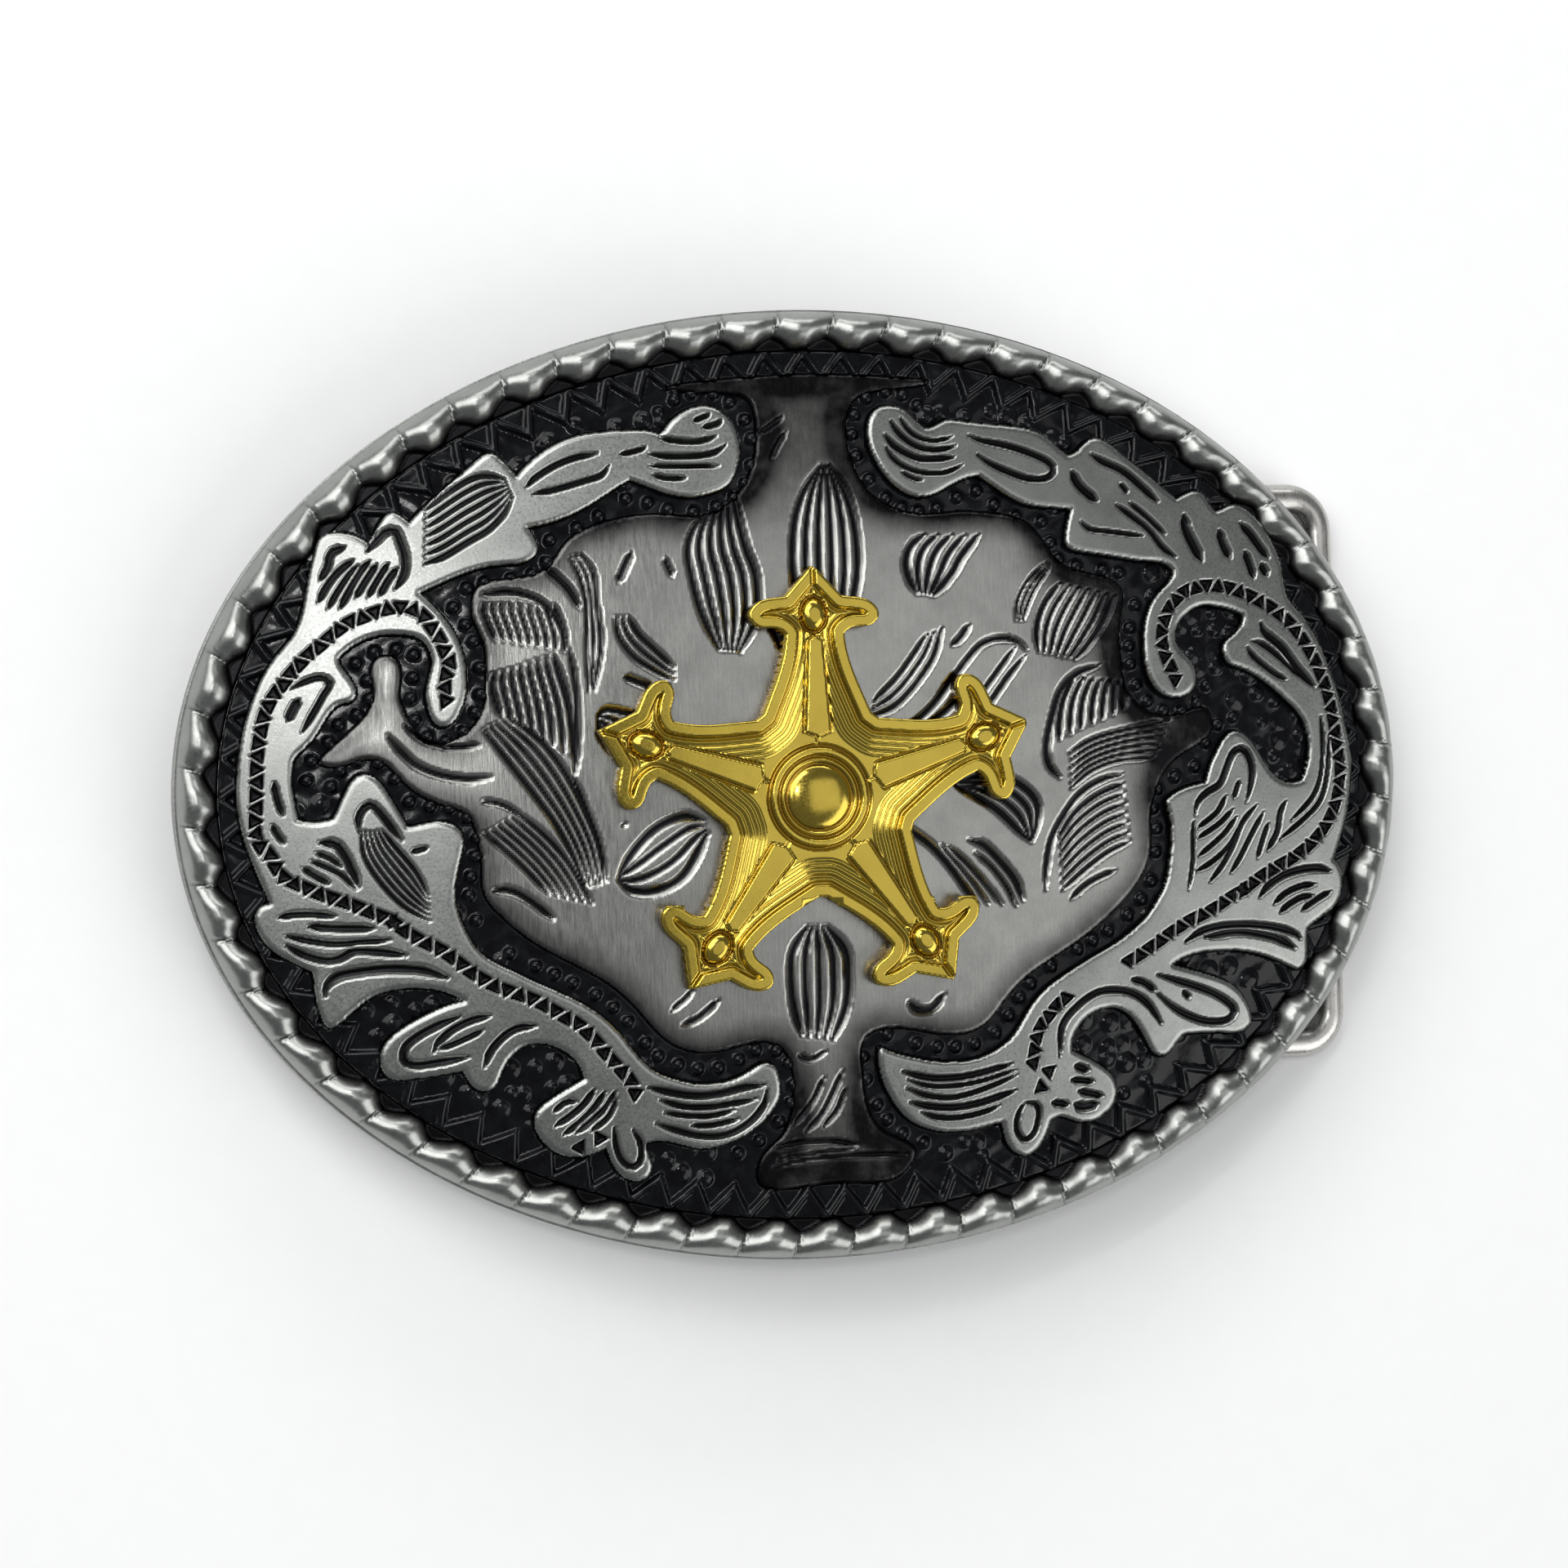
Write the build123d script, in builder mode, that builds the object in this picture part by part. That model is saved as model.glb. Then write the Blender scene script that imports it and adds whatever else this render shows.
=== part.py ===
from build123d import *
import math
import os

# Oval western belt buckle. Origin at the middle of the oval, on the table under it.
# +X runs along the oval towards the wire bail, +Z comes out of the decorated face.

# Oval plate, bent to fit the waist: two radii of curvature, crown above the table
PLATE_HALF_LENGTH = 49.0
PLATE_HALF_WIDTH = 36.8
PLATE_THICKNESS = 1.6
BEND_RADIUS_LONG = 210.0
BEND_RADIUS_SHORT = 250.0
CROWN_HEIGHT = 10.2

# Heights of the relief above the bent front surface
ENAMEL_TOP = 0.25
PANEL_TOP = 0.5
SCROLL_TOP = 1.0
ROPE_TOP = 1.9
ORNAMENT_TOP = 2.3

# Rope border between two ovals
ROPE_INNER_LENGTH = 45.7
ROPE_INNER_WIDTH = 33.5
ROPE_OUTER_LENGTH = 48.9
ROPE_OUTER_WIDTH = 36.7
ROPE_CHAMFER = 0.7

# Star ornament, five arms ending in fleur tips, middle a little left of the oval's middle
ORNAMENT_X = -0.5
ORNAMENT_Y = -1.0
ARM_COUNT = 5
PIN_X = 6.0
PIN_RADIUS = 1.0
PIN_HEAD_RADIUS = 1.6
PIN_HEAD_HEIGHT = 0.4
PIN_CLEARANCE = 0.05

# Wire bail and the two lugs it swings in
HINGE_X = 26.0
HINGE_Z = 3.2
BAIL_WIRE_RADIUS = 1.2
BAIL_ARM_Y = 22.0
BAIL_BAR_X = 44.1
BAIL_BAR_Z = 1.2
BAIL_CORNER = 2.6
BAIL_END_CORNER = 1.8
BAIL_END_Y = 16.9
LUG_RADIUS = 2.5
LUG_INNER_Y = 16.6
LUG_THICKNESS = 3.6
LUG_BORE_RADIUS = 1.25

# Hook prong that goes through a belt hole
PRONG_X = -34.0
PRONG_RADIUS = 2.0
PRONG_LEAN = 10.0
PRONG_BASE_RADIUS = 3.6
PRONG_BASE_HEIGHT = 0.8

# Scroll outlines: each run is a smooth curve, and a corner sits at the end of every run
SCROLL_LEFT_RUNS = [
    [(-11.0, 27.8), (-10.4, 28.4), (-9.4, 29.0), (-8.3, 29.3), (-7.2, 29.1), (-6.4, 28.5), (-5.8, 27.7),
     (-5.5, 26.8), (-5.4, 25.8), (-5.6, 24.8), (-6.0, 23.8), (-6.7, 23.0), (-7.8, 22.5), (-9.2, 22.2),
     (-10.4, 22.3), (-11.8, 22.7), (-13.0, 23.2), (-14.1, 23.6)],
    [(-16.0, 22.5), (-17.3, 21.7), (-18.7, 21.0), (-20.4, 20.4), (-22.0, 20.1)],
    [(-21.5, 19.3), (-21.3, 18.5), (-21.9, 17.7), (-24.0, 17.3), (-26.0, 17.0), (-28.0, 16.3),
     (-30.3, 15.3)],
    [(-29.4, 14.4), (-28.5, 13.3), (-27.7, 12.0), (-27.2, 10.6), (-27.0, 9.0), (-27.1, 7.5), (-27.6, 6.2),
     (-28.3, 5.3), (-29.0, 5.1), (-29.6, 5.5), (-30.0, 6.5), (-30.1, 7.8), (-29.8, 9.0), (-29.6, 10.0),
     (-29.8, 11.0), (-30.4, 11.8), (-31.3, 12.1), (-33.0, 12.2), (-34.4, 11.9), (-35.6, 11.3), (-36.5, 10.5)],
    [(-35.9, 9.2), (-35.4, 8.4), (-35.3, 7.7), (-35.7, 7.2), (-36.5, 7.0), (-37.2, 6.5), (-38.0, 5.3),
     (-39.2, 3.8), (-40.0, 3.0), (-40.2, 2.0), (-40.2, 0.6), (-40.0, -0.6), (-39.9, -1.6)],
    [(-38.8, -1.8), (-37.3, -1.6)],
    [(-36.7, -0.4), (-36.1, 0.8), (-35.5, 1.5), (-34.8, 1.7), (-34.0, 1.3), (-33.3, 0.4), (-32.6, -0.8),
     (-31.8, -2.3)],
    [(-30.8, -2.2), (-29.6, -2.0), (-28.6, -2.2), (-27.9, -2.7), (-27.6, -3.5), (-27.8, -4.7), (-28.2, -6.4),
     (-28.3, -8.0), (-27.9, -9.6), (-27.3, -11.0), (-26.3, -12.3), (-24.8, -13.2), (-22.5, -14.4),
     (-20.0, -15.6), (-18.0, -16.8), (-16.6, -18.0), (-15.6, -19.2), (-14.6, -20.5), (-13.4, -21.6),
     (-12.0, -22.2), (-10.4, -22.65), (-8.8, -22.7), (-7.2, -22.4), (-6.0, -21.8), (-4.9, -21.3),
     (-4.0, -21.7)],
    [(-3.7, -22.7), (-3.7, -23.8), (-4.2, -24.8), (-5.2, -25.9), (-6.6, -26.9), (-8.2, -27.5),
     (-9.8, -27.75), (-11.6, -27.3), (-13.0, -27.0), (-14.1, -27.1)],
    [(-14.0, -27.9), (-13.7, -28.7), (-13.9, -29.5), (-14.6, -30.0), (-15.5, -29.9), (-16.3, -29.3),
     (-16.9, -28.3), (-17.2, -27.4)],
    [(-18.3, -27.8), (-19.6, -28.0), (-21.0, -27.6), (-22.1, -26.6), (-22.7, -25.4), (-22.5, -24.4),
     (-21.5, -23.5), (-20.2, -22.7), (-18.9, -22.0)],
    [(-19.1, -21.2), (-19.7, -20.3), (-20.7, -19.6), (-22.0, -19.2), (-23.2, -19.3), (-24.3, -20.0),
     (-25.0, -21.1), (-25.5, -22.2), (-26.2, -22.7), (-27.0, -22.5), (-27.6, -21.9), (-28.0, -21.1)],
    [(-30.0, -21.4), (-32.0, -21.6), (-33.4, -21.5), (-34.0, -20.9), (-34.2, -19.8), (-33.8, -18.8),
     (-32.6, -17.7), (-31.0, -16.8), (-29.4, -16.1), (-27.9, -15.7)],
    [(-29.0, -15.1), (-30.4, -14.75), (-32.6, -14.7), (-34.4, -15.1), (-35.8, -16.0), (-37.2, -17.2),
     (-37.9, -17.5), (-38.5, -16.7), (-38.9, -15.2), (-39.1, -13.2)],
    [(-40.6, -12.4), (-42.0, -11.5), (-43.0, -10.2), (-43.3, -9.0), (-43.0, -8.3), (-42.2, -7.9)],
    [(-42.8, -6.3), (-43.4, -4.8), (-43.9, -3.2), (-44.3, -1.4), (-44.4, 0.4), (-44.3, 2.2), (-44.0, 4.2),
     (-43.5, 6.2), (-42.8, 8.0), (-41.9, 9.8), (-40.8, 11.2), (-39.8, 12.4), (-39.2, 13.8), (-38.8, 15.6),
     (-38.4, 17.4), (-38.0, 18.8), (-37.5, 19.8), (-36.4, 20.1), (-35.2, 19.9), (-34.0, 19.2)],
    [(-33.4, 20.2), (-32.8, 21.1), (-32.2, 21.5), (-31.6, 21.3), (-30.9, 20.7)],
    [(-29.0, 22.5), (-27.0, 24.2), (-25.6, 25.4), (-24.6, 25.9), (-23.9, 25.5), (-22.7, 24.1)],
    [(-21.6, 25.2), (-20.0, 26.3), (-18.0, 27.1), (-16.0, 27.4), (-14.0, 27.5), (-12.4, 27.4),
     (-11.6, 27.1)],
]

SCROLL_RIGHT_RUNS = [
    [(9.1, 27.6), (8.5, 28.2), (7.7, 28.9), (6.8, 29.2), (5.9, 29.1), (5.2, 28.6), (4.8, 27.8), (4.7, 26.8),
     (5.0, 25.4), (5.5, 24.4), (6.3, 23.3), (7.4, 22.4), (8.6, 22.0), (9.8, 22.2), (11.2, 22.9),
     (12.4, 23.4), (13.6, 23.6)],
    [(14.6, 22.9), (15.8, 22.1), (17.2, 21.4), (19.0, 21.1), (21.0, 20.9)],
    [(20.7, 19.8), (20.5, 18.9), (20.6, 18.0), (21.2, 17.7), (23.0, 17.4), (25.0, 17.1), (27.2, 16.8),
     (28.8, 16.6), (29.5, 16.0), (29.2, 15.2), (28.2, 14.3), (27.4, 13.2), (26.9, 11.8), (26.7, 10.2),
     (26.8, 8.6), (27.3, 7.2), (28.2, 6.3), (29.3, 6.0), (30.4, 6.3), (31.1, 7.2), (31.1, 8.3),
     (30.5, 9.2), (29.8, 9.9), (29.5, 10.7), (29.7, 11.7), (30.5, 12.6), (31.7, 13.2), (33.0, 13.2),
     (34.4, 12.9), (35.4, 12.5)],
    [(35.2, 11.5), (34.4, 10.8), (33.7, 10.2), (33.6, 9.4), (34.1, 8.6), (34.9, 8.3), (36.3, 7.7),
     (37.8, 6.7), (39.2, 5.5), (40.3, 4.3), (40.8, 3.1), (40.95, 1.8), (40.8, 0.6), (40.3, -0.7)],
    [(39.3, -0.9), (38.2, -0.6), (37.3, 0.2), (36.6, 1.3), (35.9, 2.3), (35.2, 3.0), (34.4, 3.3),
     (33.6, 2.9), (32.8, 1.8), (32.2, 0.7), (31.7, -0.7)],
    [(30.6, -0.9), (29.4, -1.3), (28.2, -2.1)],
    [(28.5, -3.4), (28.6, -5.0), (28.4, -6.8), (28.1, -8.4), (27.4, -9.8), (26.4, -11.1), (25.0, -12.3),
     (23.4, -13.3), (21.6, -14.2), (19.6, -15.3), (17.9, -16.4), (16.7, -17.6), (15.9, -18.8),
     (15.0, -20.1), (13.8, -21.0), (12.4, -21.6), (10.6, -21.8), (8.6, -21.7), (6.8, -21.3),
     (5.4, -20.9), (4.2, -20.4)],
    [(4.1, -21.6), (4.4, -23.0), (5.2, -24.6), (6.2, -25.9), (7.6, -26.8), (9.4, -27.3), (11.4, -27.3),
     (13.0, -27.0), (14.1, -26.8)],
    [(14.4, -28.1), (15.1, -29.1), (16.1, -29.5), (17.0, -29.0), (17.8, -27.9), (18.2, -26.8)],
    [(19.2, -26.6), (20.3, -27.0), (21.4, -27.1), (22.6, -26.6), (23.5, -25.7), (23.75, -24.6),
     (23.4, -23.6), (22.4, -22.7), (21.2, -22.0), (20.0, -21.4)],
    [(20.0, -20.5), (20.5, -19.5), (21.5, -18.6), (22.8, -18.2), (24.0, -18.3), (25.0, -19.0),
     (25.8, -20.1), (26.5, -21.4), (27.2, -22.1), (28.0, -22.1), (28.7, -21.4), (29.5, -20.6)],
    [(31.0, -20.5), (33.0, -20.6), (34.7, -20.5), (35.4, -19.9), (35.3, -18.8), (34.6, -17.6),
     (33.4, -16.6), (31.8, -15.95), (30.0, -15.4), (28.6, -15.0)],
    [(29.8, -14.4), (31.6, -14.1), (33.8, -14.1), (35.8, -14.4), (37.6, -15.0), (38.9, -15.6),
     (39.7, -15.8), (40.2, -15.4), (40.5, -14.4), (40.5, -13.2), (40.6, -12.5)],
    [(42.0, -11.6), (43.2, -10.6), (43.7, -9.6), (43.8, -8.6), (43.5, -7.7), (43.0, -7.1)],
    [(43.6, -5.5), (44.2, -3.8), (44.6, -1.8), (44.8, 0.2), (44.7, 2.0), (44.3, 4.0), (43.7, 6.4),
     (42.9, 8.6), (41.9, 10.8), (40.6, 12.6), (39.6, 13.8), (39.3, 15.2), (39.0, 16.8), (38.4, 18.3),
     (37.4, 19.8), (36.2, 20.9), (35.1, 21.3), (34.3, 21.0), (33.5, 20.8)],
    [(33.0, 21.4), (32.5, 22.1), (31.9, 22.4), (31.1, 22.2), (30.1, 21.8)],
    [(28.8, 22.8), (27.2, 24.1), (25.4, 25.5), (24.2, 26.4), (23.4, 26.6), (22.6, 26.2), (21.8, 25.5),
     (21.0, 25.3)],
    [(20.2, 25.9), (19.0, 26.9), (17.6, 27.4), (15.6, 27.65), (13.4, 27.85), (12.2, 28.0), (11.2, 28.05),
     (10.4, 27.7), (9.7, 27.4)],
]

# Silver centre panel: one closed wavy outline that keeps clear of both scrolls
PANEL_RUNS = [
    [(0.0, 31.7), (-6.0, 31.4), (-11.0, 30.7), (-7.5, 30.3), (-4.4, 29.6), (-4.0, 27.5), (-4.3, 25.0),
     (-5.2, 23.0), (-6.6, 21.6), (-9.0, 20.8), (-12.0, 21.0), (-15.0, 20.7), (-17.4, 20.0), (-19.2, 18.8),
     (-20.4, 17.2), (-23.0, 16.3), (-26.0, 15.5), (-26.4, 13.6), (-25.6, 11.4), (-25.5, 9.0), (-25.6, 7.2),
     (-26.3, 5.4), (-27.4, 4.4), (-29.0, 3.9), (-30.6, 4.5), (-31.5, 5.8), (-32.0, 7.4), (-31.9, 9.2),
     (-32.2, 10.3), (-33.2, 10.6), (-34.0, 9.9), (-34.0, 8.0), (-34.4, 6.4), (-35.8, 4.9), (-37.2, 3.7),
     (-38.1, 2.6), (-36.8, 2.3), (-34.7, 2.8), (-33.2, 2.4), (-32.2, 1.3), (-31.0, 0.2), (-29.0, -0.8),
     (-27.2, -1.6), (-26.5, -3.4), (-26.2, -5.5), (-26.1, -7.6), (-24.8, -9.4), (-22.6, -11.3),
     (-19.4, -13.2), (-16.6, -14.9), (-14.6, -16.8), (-12.8, -18.9), (-10.8, -20.1), (-8.0, -20.2),
     (-5.6, -19.7), (-3.4, -20.2), (-2.6, -22.0), (-2.6, -24.5), (-3.4, -27.0), (-5.0, -28.6),
     (-5.4, -30.2), (0.6, -30.9), (6.6, -30.0), (7.2, -28.8), (4.6, -27.0), (3.2, -24.6), (2.9, -22.0),
     (3.2, -19.6), (5.0, -19.0), (8.0, -19.4), (11.0, -19.7), (13.0, -18.9), (14.4, -17.3), (16.2, -15.5),
     (18.8, -13.9), (22.0, -11.9), (24.4, -9.9), (26.3, -7.6), (27.0, -5.4), (27.0, -3.2), (27.4, -1.6),
     (28.4, 0.4), (30.6, 2.0), (32.6, 3.8), (32.2, 5.0), (29.6, 4.7), (27.0, 5.0), (25.4, 6.6),
     (24.9, 9.2), (24.9, 12.0), (25.2, 14.6), (23.0, 15.8), (20.2, 16.7), (18.8, 18.4), (17.4, 20.0),
     (14.8, 20.7), (12.0, 20.9), (9.0, 20.7), (6.4, 21.3), (4.4, 22.8), (3.4, 25.0), (3.1, 27.5),
     (3.8, 29.6), (7.0, 30.5), (10.0, 31.0), (5.0, 31.6), (0.0, 31.7)],
]

# Half of one ornament arm, distance along the arm and half width: side, lobe, point
ARM_SIDE = [(6.4, 4.2), (8.8, 3.2), (11.0, 2.5), (12.5, 2.3)]
ARM_LOBE = [(12.5, 2.3), (13.0, 3.3), (13.1, 4.4), (13.9, 5.1), (14.9, 4.5), (15.3, 3.2), (15.4, 2.2)]
ARM_POINT = [(15.4, 2.2), (17.8, 0.0)]


def bent_layer(low, high):
    """Ring shaped solid between two offsets of the bent front surface."""
    centre = CROWN_HEIGHT - BEND_RADIUS_SHORT
    reach = PLATE_HALF_WIDTH + 3.0
    with BuildPart() as layer:
        with BuildSketch(Plane.YZ):
            with BuildLine():
                top = RadiusArc(
                    (-reach, centre + math.sqrt((BEND_RADIUS_SHORT + high) ** 2 - reach ** 2)),
                    (reach, centre + math.sqrt((BEND_RADIUS_SHORT + high) ** 2 - reach ** 2)),
                    BEND_RADIUS_SHORT + high,
                )
                bottom = RadiusArc(
                    (-reach, centre + math.sqrt((BEND_RADIUS_SHORT + low) ** 2 - reach ** 2)),
                    (reach, centre + math.sqrt((BEND_RADIUS_SHORT + low) ** 2 - reach ** 2)),
                    BEND_RADIUS_SHORT + low,
                )
                Line(top @ 0, bottom @ 0)
                Line(top @ 1, bottom @ 1)
            make_face()
        revolve(axis=Axis((0, 0, CROWN_HEIGHT - BEND_RADIUS_LONG), (0, 1, 0)))
    return layer.part


def draw_runs(runs):
    """Closed outline in the active line builder, a smooth curve per run."""
    start = runs[-1][-1]
    for run in runs:
        Spline(start, *run) if run[0] != start else Spline(*run)
        start = run[-1]


def arm_point(point, side, index):
    """Place an arm-local point on arm number index, on the +1 or -1 side."""
    turn = math.radians(90.0 + 360.0 / ARM_COUNT * index)
    along, across = point[0], point[1] * side
    x = ORNAMENT_X + along * math.cos(turn) - across * math.sin(turn)
    y = ORNAMENT_Y + along * math.sin(turn) + across * math.cos(turn)
    return (x, y)


def draw_ornament():
    """Closed star outline in the active line builder, arm after arm."""
    for index in range(ARM_COUNT):
        for side in (-1, 1):
            Spline(*[arm_point(point, side, index) for point in ARM_SIDE])
            Spline(*[arm_point(point, side, index) for point in ARM_LOBE])
            Line(*[arm_point(point, side, index) for point in ARM_POINT])
        Line(arm_point(ARM_SIDE[0], 1, index), arm_point(ARM_SIDE[0], -1, index + 1))


os.makedirs("parts", exist_ok=True)

plate_layer = bent_layer(-PLATE_THICKNESS, 0.0)
enamel_layer = bent_layer(0.0, ENAMEL_TOP)
panel_layer = bent_layer(0.0, PANEL_TOP)
scroll_layer = bent_layer(0.0, SCROLL_TOP)
rope_layer = bent_layer(0.0, ROPE_TOP)
ornament_layer = bent_layer(PANEL_TOP, ORNAMENT_TOP)
behind_plate = bent_layer(-30.0, -PLATE_THICKNESS)
prong_flange_layer = bent_layer(-PLATE_THICKNESS - PRONG_BASE_HEIGHT, -PLATE_THICKNESS)
behind_prong_flange = bent_layer(-30.0, -PLATE_THICKNESS - PRONG_BASE_HEIGHT)
pin_layer = bent_layer(-PLATE_THICKNESS, PANEL_TOP)
pin_head_layer = bent_layer(-PLATE_THICKNESS - PIN_HEAD_HEIGHT, -PLATE_THICKNESS)

# Cast oval plate with two holes for the ornament's pins
with BuildPart() as face_plate:
    with BuildSketch():
        Ellipse(PLATE_HALF_LENGTH, PLATE_HALF_WIDTH)
        with Locations((ORNAMENT_X - PIN_X, ORNAMENT_Y), (ORNAMENT_X + PIN_X, ORNAMENT_Y)):
            Circle(PIN_RADIUS + PIN_CLEARANCE, mode=Mode.SUBTRACT)
    extrude(amount=20.0)
    add(plate_layer, mode=Mode.INTERSECT)

# Rope border standing on the rim of the plate
with BuildPart() as rope_edge:
    with BuildSketch():
        Ellipse(ROPE_OUTER_LENGTH, ROPE_OUTER_WIDTH)
        Ellipse(ROPE_INNER_LENGTH, ROPE_INNER_WIDTH, mode=Mode.SUBTRACT)
    extrude(amount=20.0)
    add(rope_layer, mode=Mode.INTERSECT)
    rope_top = rope_edge.faces().sort_by(Axis.Z)[-1]
    chamfer(rope_top.edges(), length=ROPE_CHAMFER)

# Two raised scrolls, nearly mirror images of each other
with BuildPart() as scroll_left:
    with BuildSketch():
        with BuildLine():
            draw_runs(SCROLL_LEFT_RUNS)
        make_face()
    extrude(amount=20.0)
    add(scroll_layer, mode=Mode.INTERSECT)

with BuildPart() as scroll_right:
    with BuildSketch():
        with BuildLine():
            draw_runs(SCROLL_RIGHT_RUNS)
        make_face()
    extrude(amount=20.0)
    add(scroll_layer, mode=Mode.INTERSECT)

# Silver panel inside the scrolls, with the holes for the ornament's pins
with BuildPart() as centre_panel:
    with BuildSketch():
        with BuildLine():
            draw_runs(PANEL_RUNS)
        make_face()
        with Locations((ORNAMENT_X - PIN_X, ORNAMENT_Y), (ORNAMENT_X + PIN_X, ORNAMENT_Y)):
            Circle(PIN_RADIUS + PIN_CLEARANCE, mode=Mode.SUBTRACT)
    extrude(amount=20.0)
    add(panel_layer, mode=Mode.INTERSECT)

# Black enamel poured between the rope, the scrolls and the panel
with BuildPart() as black_enamel:
    with BuildSketch():
        Ellipse(ROPE_INNER_LENGTH, ROPE_INNER_WIDTH)
        with BuildLine(mode=Mode.PRIVATE) as panel_line:
            draw_runs(PANEL_RUNS)
        make_face(panel_line.edges(), mode=Mode.SUBTRACT)
        with BuildLine(mode=Mode.PRIVATE) as scroll_left_line:
            draw_runs(SCROLL_LEFT_RUNS)
        make_face(scroll_left_line.edges(), mode=Mode.SUBTRACT)
        with BuildLine(mode=Mode.PRIVATE) as scroll_right_line:
            draw_runs(SCROLL_RIGHT_RUNS)
        make_face(scroll_right_line.edges(), mode=Mode.SUBTRACT)
    extrude(amount=20.0)
    add(enamel_layer, mode=Mode.INTERSECT)

# Gilt star cut to its outline, its face follows the bent plate
with BuildPart() as star_ornament:
    with BuildSketch():
        with BuildLine():
            draw_ornament()
        make_face()
    extrude(amount=20.0)
    add(ornament_layer, mode=Mode.INTERSECT)

# Two pins cast on the ornament, through the plate, spread over behind it
pins = []
for name, side in (("ornament_pin_left", -1), ("ornament_pin_right", 1)):
    with BuildPart() as pin:
        with BuildSketch():
            with Locations((ORNAMENT_X + PIN_X * side, ORNAMENT_Y)):
                Circle(PIN_RADIUS)
        extrude(amount=20.0)
        add(pin_layer, mode=Mode.INTERSECT)
    with BuildPart() as pin_head:
        with BuildSketch():
            with Locations((ORNAMENT_X + PIN_X * side, ORNAMENT_Y)):
                Circle(PIN_HEAD_RADIUS)
        extrude(amount=20.0)
        add(pin_head_layer, mode=Mode.INTERSECT)
        add(pin.part)
    pin_head.part.label = name
    pins.append(pin_head.part)

# Lugs cast on the back of the plate, one each side, bored for the bail
lugs = []
for name, start in (("hinge_lug_upper", LUG_INNER_Y), ("hinge_lug_lower", -LUG_INNER_Y - LUG_THICKNESS)):
    with BuildPart() as lug:
        with BuildSketch(Plane.XZ.offset(-start - LUG_THICKNESS)):
            with Locations((HINGE_X, HINGE_Z)):
                Circle(LUG_RADIUS)
            with Locations((HINGE_X, HINGE_Z + 5.0)):
                Rectangle(2.0 * LUG_RADIUS, 10.0)
            with Locations((HINGE_X, HINGE_Z)):
                Circle(LUG_BORE_RADIUS, mode=Mode.SUBTRACT)
        extrude(amount=LUG_THICKNESS)
        add(behind_plate, mode=Mode.INTERSECT)
    lug.part.label = name
    lugs.append(lug.part)

# Wire bail: bar, two arms, ends turned in through the lugs
bail_run = BAIL_BAR_X - HINGE_X
bail_drop = BAIL_BAR_Z - HINGE_Z
bail_length = math.hypot(bail_run, bail_drop)
bail_plane = Plane(
    origin=(HINGE_X, 0, HINGE_Z),
    x_dir=(bail_run, 0, bail_drop),
    z_dir=(-bail_drop, 0, bail_run),
)
with BuildPart() as bail:
    with BuildLine(bail_plane) as bail_path:
        arm_start = BAIL_ARM_Y - BAIL_END_CORNER
        Line((0, -BAIL_END_Y), (0, -arm_start))
        RadiusArc((0, -arm_start), (BAIL_END_CORNER, -BAIL_ARM_Y), -BAIL_END_CORNER)
        Line((BAIL_END_CORNER, -BAIL_ARM_Y), (bail_length - BAIL_CORNER, -BAIL_ARM_Y))
        RadiusArc(
            (bail_length - BAIL_CORNER, -BAIL_ARM_Y),
            (bail_length, -BAIL_ARM_Y + BAIL_CORNER),
            -BAIL_CORNER,
        )
        Line((bail_length, -BAIL_ARM_Y + BAIL_CORNER), (bail_length, BAIL_ARM_Y - BAIL_CORNER))
        RadiusArc(
            (bail_length, BAIL_ARM_Y - BAIL_CORNER),
            (bail_length - BAIL_CORNER, BAIL_ARM_Y),
            -BAIL_CORNER,
        )
        Line((bail_length - BAIL_CORNER, BAIL_ARM_Y), (BAIL_END_CORNER, BAIL_ARM_Y))
        RadiusArc((BAIL_END_CORNER, BAIL_ARM_Y), (0, arm_start), -BAIL_END_CORNER)
        Line((0, arm_start), (0, BAIL_END_Y))
    with BuildSketch(Plane(origin=(HINGE_X, -BAIL_END_Y, HINGE_Z), z_dir=(0, -1, 0))):
        Circle(BAIL_WIRE_RADIUS)
    sweep()

# Round flange of the prong on the back of the plate
with BuildPart() as prong_base:
    with BuildSketch():
        with Locations((PRONG_X, 0)):
            Circle(PRONG_BASE_RADIUS)
    extrude(amount=20.0)
    add(prong_flange_layer, mode=Mode.INTERSECT)

# Prong leaning towards the bail, with a round tip that rests on the table
prong_back = CROWN_HEIGHT - BEND_RADIUS_LONG + math.sqrt(
    (BEND_RADIUS_LONG - PLATE_THICKNESS - PRONG_BASE_HEIGHT) ** 2 - PRONG_X ** 2
)
lean = math.radians(PRONG_LEAN)
tip_centre = (PRONG_X + (prong_back - PRONG_RADIUS) * math.tan(lean), 0, PRONG_RADIUS)
with BuildPart() as prong:
    with BuildSketch(Plane(origin=tip_centre, z_dir=(-math.sin(lean), 0, math.cos(lean)))):
        Circle(PRONG_RADIUS)
    extrude(amount=prong_back + 2.0)
    with Locations(tip_centre):
        Sphere(PRONG_RADIUS)
    add(behind_prong_flange, mode=Mode.INTERSECT)

face_plate.part.label = "face_plate"
rope_edge.part.label = "rope_edge"
scroll_left.part.label = "scroll_left"
scroll_right.part.label = "scroll_right"
centre_panel.part.label = "centre_panel"
black_enamel.part.label = "black_enamel"
star_ornament.part.label = "star_ornament"
bail.part.label = "bail"
prong_base.part.label = "prong_base"
prong.part.label = "prong"

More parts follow.
